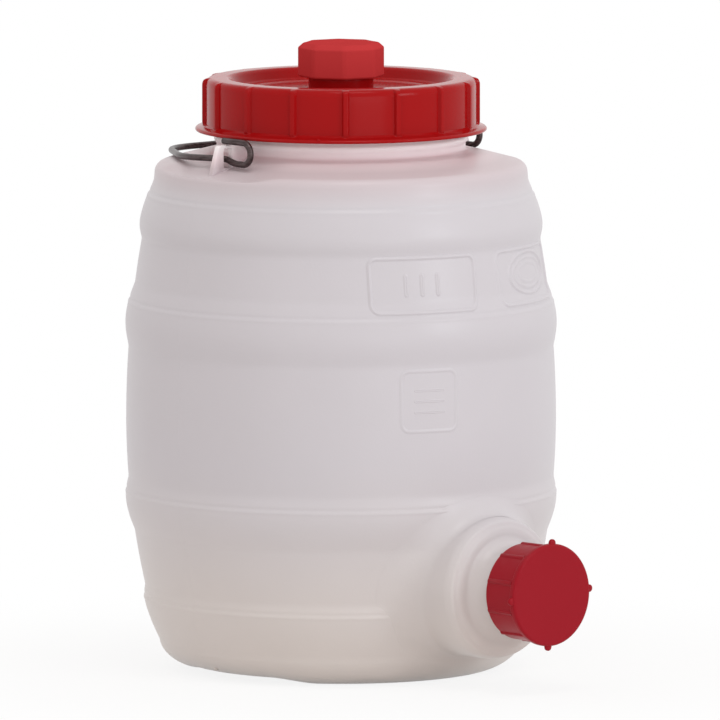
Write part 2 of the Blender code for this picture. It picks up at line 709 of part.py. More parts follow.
def build_vent_cap(axis, finish):
    bore = vent_bore_radius
    roof = vent_cap_top - vent_cap_roof
    count = cap_sides
    shape = bmesh.new()

    def octagon(height, limit, shrink=0.0):
        points = []
        for step in range(count):
            angle = math.tau * step / count
            from_flat = math.remainder(angle, math.pi / 4)
            flat = (vent_flat_radius - shrink) / math.cos(math.pi / 8 - abs(from_flat))
            radius = min(flat, limit - shrink)
            turn = angle + math.radians(vent_corner_degrees)
            points.append((radius * math.cos(turn), radius * math.sin(turn), height))
        return add_ring(shape, points)

    def circle(height, radius):
        turns = [math.tau * step / count + math.radians(vent_corner_degrees) for step in range(count)]
        return add_ring(shape, [(radius * math.cos(a), radius * math.sin(a), height) for a in turns])

    rings = [[shape.verts.new((0, 0, roof))], circle(roof, bore),
             circle(vent_cap_bottom + small_edge, bore),
             circle(vent_cap_bottom, bore + small_edge / 2),
             octagon(vent_cap_bottom, vent_flat_radius, small_edge),
             octagon(vent_cap_bottom + small_edge, vent_corner_radius),
             octagon(vent_cap_top - small_edge, vent_corner_radius),
             octagon(vent_cap_top, vent_corner_radius, small_edge), [shape.verts.new((0, 0, vent_cap_top))]]
    for first, second in zip(rings, rings[1:]):
        join_rings(shape, first, second)
    cap = add_object("vent_cap", shape, axis, finish)
    spout_low = vent_cap_bottom + vent_thread_base
    own_low = vent_cap_bottom + vent_thread_base
    threads = thread_ridge(
        bore, -vent_thread_depth, vent_thread_base, vent_thread_tip, vent_thread_lead, thread_start_count,
        own_low, spout_top_height - 2 * vent_thread_base,
        mating_phase(spout_low, own_low, vent_thread_lead, thread_start_count), thread_steps)
    boolean(cap, add_object("vent_cap_threads", threads, axis), "UNION")


def build_vent_seal(axis, finish):
    low = spout_top_height + seat_gap
    outer = spout_radius + vent_thread_depth - vent_clearance
    ring = seal_ring(spout_bore_radius - small_edge, outer, low, low + vent_seal_thickness, inner_sides)
    add_object("vent_seal", ring, axis, finish)


def build_tap_cap(outlet, finish):
    bore = tap_bore_radius
    roof = tap_cap_face - tap_cap_roof
    disc_back = tap_cap_face - tap_disc_depth
    edge = small_edge
    outline = [(0, roof), (bore, roof), (bore, tap_cap_back + edge), (bore + edge / 2, tap_cap_back),
               (tap_skirt_radius - edge / 2, tap_cap_back), (tap_skirt_radius, tap_cap_back + edge),
               (tap_skirt_radius, disc_back - edge), (tap_disc_radius - edge / 2, disc_back),
               (tap_disc_radius, disc_back + edge), (tap_disc_radius, tap_cap_face - edge),
               (tap_disc_radius - edge, tap_cap_face), (0, tap_cap_face)]
    cap = add_object("tap_cap", turned(outline, lid_sides), outlet, finish)
    skirt_ribs = ribs(tap_skirt_radius - tap_rib_rise, tap_skirt_radius + tap_rib_rise, tap_rib_width,
                      tap_cap_back + edge, disc_back + edge / 2, tap_rib_count,
                      math.radians(tap_nub_degrees) / 2)
    nubs = bmesh.new()
    for index in range(tap_nub_count):
        angle = math.radians(tap_nub_degrees) + math.tau * index / tap_nub_count
        out = Vector((math.cos(angle), math.sin(angle)))
        side = Vector((-math.sin(angle), math.cos(angle)))
        tip = tap_disc_radius + tap_nub_reach - tap_nub_radius
        points = [out * (tap_disc_radius - tap_nub_radius) - side * tap_nub_radius * 1.3]
        for step in range(5):
            turn = math.pi * (step / 4 - 0.5)
            across = side * tap_nub_radius * math.sin(turn)
            points.append(out * (tip + tap_nub_radius * math.cos(turn)) + across)
        points.append(out * (tap_disc_radius - tap_nub_radius) + side * tap_nub_radius * 1.3)
        prism(nubs, points, disc_back + edge, tap_cap_face - edge * 0.7)
    spigot_low = tap_cap_back + tap_thread_base
    own_low = tap_cap_back + tap_thread_base
    threads = thread_ridge(
        bore, -tap_thread_depth, tap_thread_base, tap_thread_tip, tap_thread_lead, thread_start_count,
        own_low, spigot_end - 2 * tap_thread_base,
        mating_phase(spigot_low, own_low, tap_thread_lead, thread_start_count), thread_steps)
    boolean(cap, add_object("tap_cap_ribs", skirt_ribs, outlet), "UNION")
    boolean(cap, add_object("tap_cap_nubs", nubs, outlet), "UNION")
    boolean(cap, add_object("tap_cap_threads", threads, outlet), "UNION")


def build_tap_seal(outlet, finish):
    low = spigot_end + seat_gap
    outer = spigot_radius + tap_thread_depth - tap_clearance
    ring = seal_ring(spigot_bore_radius, outer, low, low + tap_seal_thickness, inner_sides)
    add_object("tap_seal", ring, outlet, finish)


def bail_route():
    # Half of the bail from the middle of the grip to the wire's cut end, as (x, y, z) from the
    # bar's middle.
    half = []
    corner = 0.4
    grip_end = (bail_grip_half, bail_reach, -bail_drop)
    arm_end = (eye_x, bail_arm, -hook_fall - (bail_drop - hook_fall) * bail_arm / bail_reach)
    hook = (eye_x, 0.0, -hook_fall)
    toward = tuple(a + (b - a) * corner for a, b in zip(grip_end, arm_end))
    back = tuple(a + (b - a) * corner for a, b in zip(arm_end, grip_end))
    inset = (grip_end[0] * (1 - corner), grip_end[1], grip_end[2])
    arm_mid = tuple(a + (b - a) * corner for a, b in zip(arm_end, hook))
    half.append((0.0, bail_reach, -bail_drop))
    half += bend(inset, grip_end, toward, 5)
    half += bend(back, arm_end, arm_mid, 5)
    half.append(hook)
    radius = (eye_rise + eye_fall) / 2
    centre = (-eye_reach + radius, eye_rise - radius)
    half += bend((eye_x, -eye_reach * 0.15, -hook_fall - wire_radius / 2),
                 (eye_x, -eye_reach * 0.35, -eye_fall), (eye_x, centre[0], -eye_fall), 3)
    for step in range(1, 9):
        angle = -math.pi / 2 - math.pi * step / 8
        half.append((eye_x, centre[0] + radius * math.cos(angle), centre[1] + radius * math.sin(angle)))
    half.append((eye_x, centre[0] / 2, eye_rise))
    half.append((eye_x, ear_thickness / 2 + seat_gap, eye_rise))
    return half


def build_bail(axis, finish):
    # The parent empty lies on the axis that the bail turns about.
    pole = empty("bail_axis", (0, -pole_forward, ear_bar_height + pole_rise), axis)
    half = [(x, y + pole_forward, z - pole_rise) for x, y, z in bail_route()]
    route = [(-x, y, z) for x, y, z in reversed(half[1:])] + half
    curve = bpy.data.curves.new("bail_handle", "CURVE")
    curve.dimensions = "3D"
    curve.bevel_depth = wire_radius
    curve.bevel_resolution = 2
    curve.use_fill_caps = True
    spline = curve.splines.new("POLY")
    spline.points.add(len(route) - 1)
    for point, place in zip(spline.points, route):
        point.co = (*place, 1.0)
    spline.use_smooth = True
    curve.materials.append(finish)
    made = bpy.data.objects.new("bail_handle", curve)
    bpy.context.collection.objects.link(made)
    made.parent = pole


def main():
    for old in list(bpy.data.objects):
        bpy.data.objects.remove(old, do_unlink=True)
    axis = empty("barrel_axis", (0, (tap_cap_face - belly_radius) / 2, 0))
    outlet = empty("outlet_axis", (0, 0, outlet_height), axis, math.pi / 2)
    pale = material("natural_plastic", white_plastic, 0.42)
    seal = material("seal_rubber", seal_grey, 0.55)
    build_barrel(axis, outlet, pale)
    build_lid(axis, material("lid_plastic", lid_red, 0.28))
    build_gasket(axis, seal)
    build_vent_cap(axis, material("vent_cap_plastic", cap_red, 0.42))
    build_vent_seal(axis, seal)
    build_tap_cap(outlet, material("tap_cap_plastic", tap_red, 0.32))
    build_tap_seal(outlet, seal)
    build_bail(axis, material("bail_steel", steel_grey, 0.35, 1.0))


main()
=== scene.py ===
import math

import bmesh
import bpy
import numpy as np
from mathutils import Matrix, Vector


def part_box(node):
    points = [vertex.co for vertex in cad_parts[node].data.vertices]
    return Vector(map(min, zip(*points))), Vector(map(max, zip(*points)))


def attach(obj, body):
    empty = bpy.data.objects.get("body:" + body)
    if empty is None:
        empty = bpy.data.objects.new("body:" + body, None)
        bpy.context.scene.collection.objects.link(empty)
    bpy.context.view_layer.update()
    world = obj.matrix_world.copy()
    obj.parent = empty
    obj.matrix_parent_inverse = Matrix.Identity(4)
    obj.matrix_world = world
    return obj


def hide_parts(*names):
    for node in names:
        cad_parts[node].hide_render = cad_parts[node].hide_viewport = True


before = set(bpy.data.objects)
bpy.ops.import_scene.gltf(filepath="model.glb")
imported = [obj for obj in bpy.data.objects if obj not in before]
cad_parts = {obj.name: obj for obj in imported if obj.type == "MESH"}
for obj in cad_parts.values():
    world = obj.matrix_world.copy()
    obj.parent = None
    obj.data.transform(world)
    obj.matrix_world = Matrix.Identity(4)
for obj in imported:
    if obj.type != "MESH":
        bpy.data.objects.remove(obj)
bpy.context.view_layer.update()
mm = 0.001

lidLow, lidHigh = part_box("screw_lid")
tapLow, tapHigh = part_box("tap_cap")
axisY = (lidLow.y + lidHigh.y) / 2  # the barrel's axis in the row frame
outletZ = (tapLow.z + tapHigh.z) / 2
print("frame loaded, barrel axis at y", round(axisY, 4))


# Numbers and grids

def smooth(t):
    # 3 t squared less 2 t cubed, level at 0 and at 1.
    t = np.clip(t, 0.0, 1.0)
    return t * t * (3 - 2 * t)


def around(count, start=0.0):
    # Angles evenly round the circle, the first not repeated.
    return start + np.linspace(0, 2 * np.pi, count, endpoint=False)


def rounded(corners, steps=5):
    # Polyline whose corners (x, y, radius) become short quadratic arcs that start and end radius away.
    points = np.array([c[:2] for c in corners], float)
    path = [points[0]]
    for i in range(1, len(corners) - 1):
        size = corners[i][2] if len(corners[i]) > 2 else 0.0
        before, here, after = points[i - 1], points[i], points[i + 1]
        reachA, reachB = np.linalg.norm(before - here), np.linalg.norm(after - here)
        size = min(size, reachA * 0.5, reachB * 0.5)
        if size <= 0:
            path.append(here)
            continue
        a = here + (before - here) / reachA * size
        b = here + (after - here) / reachB * size
        t = np.linspace(0, 1, steps + 1)[:, None]
        path.extend((1 - t) ** 2 * a + 2 * t * (1 - t) * here + t * t * b)
    path.append(points[-1])
    return np.array(path)


def spun(radius, angles, height):
    # x = r cos, y = r sin, z = height, for every radius and angle.
    return np.stack([radius * np.cos(angles), radius * np.sin(angles), height + 0 * radius], -1)


def turned(profile, angles):
    # Surface of revolution of a half section (radius, height).
    return spun(profile[:, :1] + 0 * angles, angles, profile[:, 1:2])


def gridFaces(rows, cols, wrapRows, wrapCols, first):
    # Four-sided faces between neighbouring rows and columns, whose points are numbered from first.
    i, j = np.meshgrid(np.arange(rows if wrapRows else rows - 1),
                       np.arange(cols if wrapCols else cols - 1), indexing="ij")
    a, b = i * cols + j, i * cols + (j + 1) % cols
    c, d = (i + 1) % rows * cols + (j + 1) % cols, (i + 1) % rows * cols + j
    return first + np.stack([a, b, c, d], -1).reshape(-1, 4)


def makePiece(name, grids, material, body, replaced, sharp, extraFaces=None, keep=None):
    # grids: (points[rows, cols, 3] from the barrel's axis, wrapRows, wrapCols). Poles and seams are
    # merged, the faces turned outwards and edges over sharp degrees left crisp.
    points, faces, first = [], [], 0
    for grid, wrapRows, wrapCols in grids:
        rows, cols = grid.shape[:2]
        made = gridFaces(rows, cols, wrapRows, wrapCols, first)
        if keep is not None and first == 0:
            made = made[keep(rows, cols)]
        points.append(grid.reshape(-1, 3))
        faces.append(made)
        first += rows * cols
    if extraFaces is not None:
        faces.append(extraFaces)
    points, faces = np.concatenate(points), np.concatenate(faces)
    points = points + np.array([0, axisY, 0])
    mesh = bpy.data.meshes.new(name)
    mesh.vertices.add(len(points))
    mesh.vertices.foreach_set("co", points.astype(np.float32).ravel())
    mesh.loops.add(faces.size)
    mesh.loops.foreach_set("vertex_index", faces.astype(np.int32).ravel())
    mesh.polygons.add(len(faces))
    mesh.polygons.foreach_set("loop_start", np.arange(0, faces.size, 4, dtype=np.int32))
    mesh.update(calc_edges=True)
    tidy = bmesh.new()
    tidy.from_mesh(mesh)
    bmesh.ops.remove_doubles(tidy, verts=tidy.verts, dist=2e-6)
    bmesh.ops.recalc_face_normals(tidy, faces=tidy.faces)
    tidy.to_mesh(mesh)
    tidy.free()
    mesh.shade_smooth()
    mesh.set_sharp_from_angle(angle=math.radians(sharp))
    mesh.materials.append(material)
    obj = bpy.data.objects.new(name, mesh)
    bpy.context.scene.collection.objects.link(obj)
    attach(obj, body)
    if replaced:
        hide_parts(*replaced)
    print("piece", name, len(mesh.polygons), "faces")
    return obj


def toOutlet(grids):
    # Turns shapes made about +Z so that +Z runs out along the outlet (-Y), at the outlet's height.
    return [(np.stack([grid[..., 0], -grid[..., 2], grid[..., 1] + outletZ], -1), wrapRows, wrapCols)
            for grid, wrapRows, wrapCols in grids]


# A thread's values are its depth, its width at the foot and at the tip, and its lead, and a run is
# where it starts and ends. Every thread here has two ridges.
threadStarts = 2


def ridge(core, depth, base, tip, lead, low, high, phase=0.0, perTurn=72):
    # Screw ridges: a rounded trapezium carried up a helix, its height growing from nothing over an
    # eighth of a turn at each end. A negative depth points inwards.
    turns = (high - low) / lead
    t = np.linspace(0, 1, int(perTurn * turns) + 1)
    grow = smooth(np.minimum(t, 1 - t) * turns * 8)[:, None]
    bite = math.copysign(0.5 * mm, depth)
    crest = depth * np.array([0.1, 0.85, 1.0, 1.0, 0.85, 0.1]) * grow
    reach = core + np.pad(crest, ((0, 0), (1, 1)), constant_values=-bite)
    half = np.array([-base / 2, -base / 2, -tip * 0.75, -tip * 0.35,
                     tip * 0.35, tip * 0.75, base / 2, base / 2])
    z = low + (high - low) * t[:, None] + half * (0.25 + 0.75 * grow)
    grids = []
    for start in range(threadStarts):
        angle = phase + 2 * np.pi * (turns * t + start / threadStarts)
        grid = spun(reach, angle[:, None], z)
        middle = grid.mean(1, keepdims=True) + 0 * grid
        grids.append((np.concatenate([middle[:1], grid, middle[-1:]]), False, True))
    return grids


def matingPhase(low, ownLow, lead):
    # Turns a cap's ridges so that they run halfway between the ridges they screw onto.
    return 2 * np.pi / lead * (ownLow - low - lead / threadStarts / 2)


# Finishes

def linear(r, g, b):
    # 0 to 255 colour values as the linear ones that Blender's colours hold.
    return tuple((c / 255 / 12.92 if c / 255 <= 0.04045 else ((c / 255 + 0.055) / 1.055) ** 2.4)
                 for c in (r, g, b)) + (1.0,)


def node(tree, kind, place=(0, 0), **values):
    # A value named in_Something goes to the input called Something, any other to the node itself.
    made = tree.nodes.new(kind)
    made.location = place
    for key, value in values.items():
        if key.startswith("in_"):
            made.inputs[key[3:].replace("_", " ")].default_value = value
        else:
            setattr(made, key, value)
    return made


def reckon(tree, operation, place, first, second):
    # The result of a Math node fed by sockets or plain numbers.
    made = node(tree, "ShaderNodeMath", place, operation=operation)
    for socket, source in zip(made.inputs, (first, second)):
        if isinstance(source, bpy.types.NodeSocket):
            tree.links.new(source, socket)
        else:
            socket.default_value = source
    return made.outputs[0]


def makeSkinGroup():
    # Moulded plastic: soft cloudy tone, fine grain for the bump and small changes of gloss.
    group = bpy.data.node_groups.new("mouldedSkin", "ShaderNodeTree")
    join = group.links.new
    colour, number = "NodeSocketColor", "NodeSocketFloat"
    for name, kind, value in (("Colour", colour, (1, 1, 1, 1)), ("Cloud", number, 0.05),
                              ("Cloud Scale", number, 20.0), ("Grain Scale", number, 900.0),
                              ("Gloss", number, 0.4), ("Gloss Change", number, 0.05)):
        socket = group.interface.new_socket(name=name, in_out="INPUT", socket_type=kind)
        socket.default_value = value
    for name, kind in (("Colour", colour), ("Roughness", number), ("Height", number)):
        group.interface.new_socket(name=name, in_out="OUTPUT", socket_type=kind)
    start = node(group, "NodeGroupInput", (-900, 0))
    end = node(group, "NodeGroupOutput", (500, 0))
    place = node(group, "ShaderNodeTexCoord", (-900, -300))
    cloud = node(group, "ShaderNodeTexNoise", (-600, 100), in_Detail=3.0, in_Roughness=0.55)
    grain = node(group, "ShaderNodeTexNoise", (-600, -200), in_Detail=2.0, in_Roughness=0.6)
    for noise, scale in ((cloud, "Cloud Scale"), (grain, "Grain Scale")):
        join(place.outputs["Object"], noise.inputs["Vector"])
        join(start.outputs[scale], noise.inputs["Scale"])
    centred = reckon(group, "SUBTRACT", (-400, 100), cloud.outputs["Fac"], 0.5)
    scaled = reckon(group, "MULTIPLY", (-220, 100), centred, start.outputs["Cloud"])
    lift = reckon(group, "ADD", (-40, 100), scaled, 1.0)
    tint = node(group, "ShaderNodeVectorMath", (140, 100), operation="SCALE")
    join(start.outputs["Colour"], tint.inputs[0])
    join(lift, tint.inputs["Scale"])
    change = reckon(group, "MULTIPLY", (-220, -100), centred, start.outputs["Gloss Change"])
    rough = reckon(group, "ADD", (-40, -100), change, start.outputs["Gloss"])
    join(tint.outputs[0], end.inputs["Colour"])
    join(rough, end.inputs["Roughness"])
    join(grain.outputs["Fac"], end.inputs["Height"])
    return group


skinGroup = makeSkinGroup()


def plastic(name, look):
    # A moulded plastic from the shared skin, with its own shader.
    material = bpy.data.materials.new(name)
    material.use_nodes = True
    tree = material.node_tree
    shader = tree.nodes["Principled BSDF"]
    skin = node(tree, "ShaderNodeGroup", (-500, 0), node_tree=skinGroup)
    for socket, key in (("Colour", "colour"), ("Cloud", "cloud"), ("Cloud Scale", "cloudScale"),
                        ("Grain Scale", "grainScale"), ("Gloss", "roughness"),
                        ("Gloss Change", "roughChange")):
        skin.inputs[socket].default_value = look[key]
    bump = node(tree, "ShaderNodeBump", (-250, -250), in_Strength=look["bump"], in_Distance=look["bumpDepth"])
    tree.links.new(skin.outputs["Height"], bump.inputs["Height"])
    tree.links.new(bump.outputs["Normal"], shader.inputs["Normal"])
    tree.links.new(skin.outputs["Roughness"], shader.inputs["Roughness"])
    tree.links.new(skin.outputs["Colour"], shader.inputs["Base Color"])
    shader.inputs["Specular IOR Level"].default_value = look["sheen"]
    material.diffuse_color = look["colour"]
    return material, tree, skin


# sheen is the shader's specular level
# The base colour is a warmer, lighter tone painted on low down as painted warm bounce light from the floor;
# it fades out by the height given after it.
naturalLook = {"colour": linear(206, 202, 207), "sheen": 0.33, "cloud": 0.06, "cloudScale": 14.0,
               "grainScale": 700.0, "roughness": 0.36, "roughChange": 0.10, "bump": 0.10,
               "bumpDepth": 0.4 * mm, "base": linear(216, 208, 203), "paintedBounceTop": 130 * mm,
               "wander": 20 * mm, "wanderScale": 9.0}
# painted light by height up the shoulder and neck: a painted pink glow for the red lid's light coming through
# the plastic, made lighter at the neck to offset the shade under the lid
paintedGlowTones = ((266 * mm, linear(206, 202, 207)), (284 * mm, linear(208, 193, 197)),
             (289.5 * mm, linear(242, 224, 228)), (295 * mm, linear(255, 248, 250)))
lidLook = {"colour": linear(162, 15, 17), "sheen": 0.1, "cloud": 0.06, "cloudScale": 25.0,
           "grainScale": 500.0, "roughness": 0.17, "roughChange": 0.06, "bump": 0.06, "bumpDepth": 0.3 * mm}
ventCapLook = {"colour": linear(194, 60, 62), "sheen": 0.0, "cloud": 0.08, "cloudScale": 60.0,
               "grainScale": 900.0, "roughness": 0.5, "roughChange": 0.08, "bump": 0.14,
               "bumpDepth": 0.3 * mm}
tapLook = {"colour": linear(154, 18, 33), "sheen": 0.12, "cloud": 0.05, "cloudScale": 60.0,
           "grainScale": 800.0, "roughness": 0.34, "roughChange": 0.08, "bump": 0.08, "bumpDepth": 0.3 * mm}
sealLook = {"colour": linear(214, 211, 204), "sheen": 0.5, "cloud": 0.05, "cloudScale": 60.0,
            "grainScale": 1500.0, "roughness": 0.6, "roughChange": 0.1, "bump": 0.15, "bumpDepth": 0.2 * mm}
steelLook = {"dark": linear(56, 46, 46), "light": linear(104, 91, 91), "plain": linear(130, 128, 124),
             "streaks": (500.0, 120.0, 900.0), "roughLow": 0.26, "roughHigh": 0.42}


def makeNatural():
    # Milky natural plastic with painted light: a warmer, lighter tone painted low down for the floor's warm
    # bounce light, and a painted pink glow under the red lid for the lid's light coming through the plastic.
    look = naturalLook
    material, tree, skin = plastic("naturalPlastic", look)
    join = tree.links.new
    place = node(tree, "ShaderNodeTexCoord", (-1500, 200))
    split = node(tree, "ShaderNodeSeparateXYZ", (-1300, 200))
    wander = node(tree, "ShaderNodeTexNoise", (-1300, 0), in_Scale=look["wanderScale"], in_Detail=2.0)
    join(place.outputs["Object"], split.inputs[0])
    join(place.outputs["Object"], wander.inputs["Vector"])
    shift = node(tree, "ShaderNodeMapRange", (-1120, 0), in_To_Min=-look["wander"], in_To_Max=look["wander"])
    join(wander.outputs["Fac"], shift.inputs["Value"])
    height = reckon(tree, "ADD", (-940, 100), split.outputs["Z"], shift.outputs[0])
    # Painted light: the floor's warm bounce is painted in by height, strongest at the bottom.
    low = node(tree, "ShaderNodeMapRange", (-760, 200), interpolation_type="SMOOTHSTEP",
               in_From_Min=look["paintedBounceTop"], in_From_Max=0.0)
    join(height, low.inputs["Value"])
    paintedWarmBounce = node(tree, "ShaderNodeMix", (-580, 300), data_type="RGBA", in_A=look["colour"], in_B=look["base"])
    join(low.outputs[0], paintedWarmBounce.inputs["Factor"])
    # Painted glow: the red lid's pink light is painted on by height up the shoulder and neck.
    lowZ, highZ = paintedGlowTones[0][0], paintedGlowTones[-1][0]
    climb = node(tree, "ShaderNodeMapRange", (-960, -150), in_From_Min=lowZ, in_From_Max=highZ)
    join(split.outputs["Z"], climb.inputs["Value"])
    tones = node(tree, "ShaderNodeValToRGB", (-760, -150))
    ramp = tones.color_ramp
    while len(ramp.elements) < len(paintedGlowTones):
        ramp.elements.new(0.5)
    for element, (z, colour) in zip(ramp.elements, paintedGlowTones):
        element.position, element.color = (z - lowZ) / (highZ - lowZ), colour
    join(climb.outputs[0], tones.inputs["Fac"])
    above = reckon(tree, "GREATER_THAN", (-760, -420), split.outputs["Z"], lowZ)
    glow = node(tree, "ShaderNodeMix", (-400, 300), data_type="RGBA")
    join(above, glow.inputs["Factor"])
    join(paintedWarmBounce.outputs["Result"], glow.inputs["A"])
    join(tones.outputs["Color"], glow.inputs["B"])
    join(glow.outputs["Result"], skin.inputs["Colour"])
    return material


def makeSteel():
    # Drawn wire: fine lengthwise streaks from stretched noise, in tone and in gloss.
    look = steelLook
    material = bpy.data.materials.new("wireSteel")
    material.use_nodes = True
    tree = material.node_tree
    join = tree.links.new
    shader = tree.nodes["Principled BSDF"]
    place = node(tree, "ShaderNodeTexCoord", (-1100, 0))
    stretch = node(tree, "ShaderNodeMapping", (-900, 0), in_Scale=look["streaks"])
    streak = node(tree, "ShaderNodeTexNoise", (-700, 0), in_Scale=1.0, in_Detail=4.0, in_Roughness=0.6)
    tone = node(tree, "ShaderNodeValToRGB", (-480, 100))
    ends = zip(tone.color_ramp.elements, ((0.3, look["dark"]), (0.75, look["light"])))
    for element, (position, colour) in ends:
        element.position, element.color = position, colour
    gloss = node(tree, "ShaderNodeMapRange", (-480, -150),
                 in_To_Min=look["roughLow"], in_To_Max=look["roughHigh"])
    join(place.outputs["Object"], stretch.inputs["Vector"])
    join(stretch.outputs[0], streak.inputs["Vector"])
    join(streak.outputs["Fac"], tone.inputs["Fac"])
    join(streak.outputs["Fac"], gloss.inputs["Value"])
    join(tone.outputs["Color"], shader.inputs["Base Color"])
    join(gloss.outputs[0], shader.inputs["Roughness"])
    shader.inputs["Metallic"].default_value = 1.0
    material.diffuse_color = look["plain"]
    return material


naturalPlastic = makeNatural()
lidPlastic = plastic("lidPlastic", lidLook)[0]
ventCapPlastic = plastic("ventCapPlastic", ventCapLook)[0]
tapPlastic = plastic("tapPlastic", tapLook)[0]
sealRubber = plastic("sealRubber", sealLook)[0]
wireSteel = makeSteel()
print("finishes made")


# Barrel

barrel = {
    "belly": 119.2 * mm, "bellyHeight": 140 * mm, "lowerTaper": 23.5 * mm, "upperTaper": 15.5 * mm,
    "shoulder": 272 * mm, "foot": 79 * mm, "footWidth": 9 * mm, "recess": 5 * mm, "corner": 16 * mm,
    "cornerPower": 1.7, "neck": 69 * mm, "neckWall": 3 * mm, "wall": 2.2 * mm, "neckTop": 321.8 * mm,
    "neckLip": 1.2 * mm, "bead": 295.3 * mm, "beadRise": 1.4 * mm, "waist": 292.5 * mm,
    # radius and height of the shoulder's outer edge and of its top
    "edge": (94 * mm, 283.3 * mm), "top": (76 * mm, 287.9 * mm),
    "seamRecess": 2.4 * mm, "seamDegrees": 20, "seamFade": 6 * mm, "seamRun": (14 * mm, 271 * mm),
    "earRecess": 2.6 * mm, "earDegrees": 15,
    "columns": 232, "line": 0.25 * mm, "lineWidth": 0.9 * mm, "lineGap": 1.0 * mm,
    "fadeDegrees": 33, "outletDegrees": 13.5, "outletRows": (31 * mm, 80 * mm),
    "thread": (2.3 * mm, 3.0 * mm, 1.4 * mm, 12 * mm), "threadRun": (304 * mm, 317.5 * mm),
    "pip": (91.8 * mm, 6.4 * mm), "pipSize": (1.6 * mm, 1.3 * mm, 1.5 * mm),
}
# low, crest, high and rise of each band, and the height of the double line on its upper slope
bands = np.array([(16.05, 37.0, 46.5, 2.4, 40.6), (77.0, 93.6, 106.9, 2.7, 99.6),
                  (179.5, 196.4, 214.9, 3.0, 205.4), (239.4, 250.5, 270.9, 3.0, 264.6)]) * mm


def bulge(z, band):
    # Band: (1 - t squared) to the power 1.2, t running from the crest to either edge.
    low, crest, high, rise = band[:4]
    t = np.where(z < crest, (crest - z) / (crest - low), (z - crest) / (high - crest))
    return rise * np.clip(1 - t * t, 0, 1) ** 1.2


def fineLine(z, band):
    # A small groove with a raised line under it, so that a thin upward slope between them shines.
    middle = band[4]
    groove = np.exp(-((z - middle - barrel["lineGap"]) / barrel["lineWidth"]) ** 2)
    ridgeUnder = np.exp(-((z - middle + barrel["lineGap"]) / barrel["lineWidth"]) ** 2)
    return barrel["line"] * (ridgeUnder - groove)


def outletFade(angle):
    # 1 beside the outlet, falling to nothing at fadeDegrees from it.
    away = np.degrees(np.abs((angle + np.pi / 2 + np.pi) % (2 * np.pi) - np.pi))
    return smooth((barrel["fadeDegrees"] - away) / (barrel["fadeDegrees"] / 3))


def wallRadius(z, angle=0.0, lines=True):
    # Two parabolas that meet at the belly, plus the bands; the lowest band fades out at the outlet.
    b = barrel
    below = b["belly"] - b["lowerTaper"] * ((b["bellyHeight"] - z) / b["bellyHeight"]) ** 2
    above = b["belly"] - b["upperTaper"] * ((z - b["bellyHeight"]) / (b["shoulder"] - b["bellyHeight"])) ** 2
    radius = np.where(z < b["bellyHeight"], below, above)
    for number, band in enumerate(bands):
        raised = bulge(z, band) + (fineLine(z, band) if lines else 0.0)
        radius = radius + raised * (1 - outletFade(angle) if number == 0 else 1.0)
    return radius


def cornerRadius(z):
    # Lower corner: a superellipse from the standing ring up to the side wall.
    b = barrel
    side = b["belly"] - b["lowerTaper"] * ((b["bellyHeight"] - b["corner"]) / b["bellyHeight"]) ** 2
    t = np.clip(z / b["corner"], 0, 1)
    return b["foot"] + (side - b["foot"]) * (1 - (1 - t) ** b["cornerPower"]) ** (1 / b["cornerPower"])


def barrelProfile():
    # Half section from the middle of the base to the neck's rim.
    b = barrel
    ringIn = b["foot"] - b["footWidth"]
    base = rounded([(0, b["recess"]), (ringIn - b["recess"], b["recess"], 3 * mm),
                    (ringIn, 0, 2 * mm), (b["foot"] - 2 * mm, 0)], 4)
    rise = b["corner"] * np.linspace(0, 1, 15)[:-1] ** 1.7
    corner = np.stack([cornerRadius(rise), rise], -1)
    # The side's rows are closer together at each fine line.
    z = np.arange(b["corner"], b["shoulder"] - 1 * mm, 1.7 * mm)
    for band in bands:
        near = np.arange(band[4] - 2.6 * mm, band[4] + 2.6 * mm, 0.4 * mm)
        z = np.concatenate([z[(z < near[0] - 0.3 * mm) | (z > near[-1] + 0.3 * mm)], near])
    z = np.sort(z)
    side = np.stack([wallRadius(z, np.pi / 2, False), z], -1)
    rim = b["belly"] - b["upperTaper"]
    (edgeR, edgeZ), (topR, topZ) = b["edge"], b["top"]
    slope = (topZ - edgeZ) / (edgeR - topR)
    meet = (rim - 0.8 * mm, edgeZ - slope * (rim - edgeR))
    shoulder = rounded([(rim, b["shoulder"]), (*meet, 9.6 * mm), (topR + 4 * mm, topZ - slope * 4 * mm)], 12)
    crest, bead = b["neck"] + b["beadRise"], b["bead"]
    neck = rounded([(topR + 2 * mm, topZ - slope * 2 * mm), (b["neck"], topZ + 1.4 * mm, 5 * mm),
                    (b["neck"], b["waist"], 0.5 * mm), (crest, bead - 0.9 * mm, 0.9 * mm),
                    (crest, bead + 0.9 * mm, 0.9 * mm), (b["neck"], bead + 2.8 * mm, 1.0 * mm),
                    (b["neck"], b["neckTop"], 0.9 * mm), (b["neck"] - b["neckLip"], b["neckTop"])], 5)
    return np.concatenate([base, corner, side, shoulder, neck])


def innerProfile(outer):
    # The outer half section moved in by the wall's thickness, straight inside the neck.
    along = np.gradient(outer, axis=0)
    along /= np.maximum(np.linalg.norm(along, axis=1, keepdims=True), 1e-9)
    inner = outer + barrel["wall"] * np.stack([-along[:, 1], along[:, 0]], -1)
    topZ = barrel["top"][1]
    inNeck = outer[:, 1] > topZ + 1.0 * mm
    inner[inNeck, 0] = barrel["neck"] - barrel["neckWall"]
    inner[inNeck, 1] = np.linspace(topZ - 0.5 * mm, barrel["neckTop"], inNeck.sum())
    inner[:, 0] = np.where(outer[:, 0] < 1e-6, 0, np.maximum(inner[:, 0], 0))
    first = np.argmax(inNeck)
    inner[:first, 1] = np.minimum(inner[:first, 1], inner[first, 1] - 0.2 * mm)
    return inner


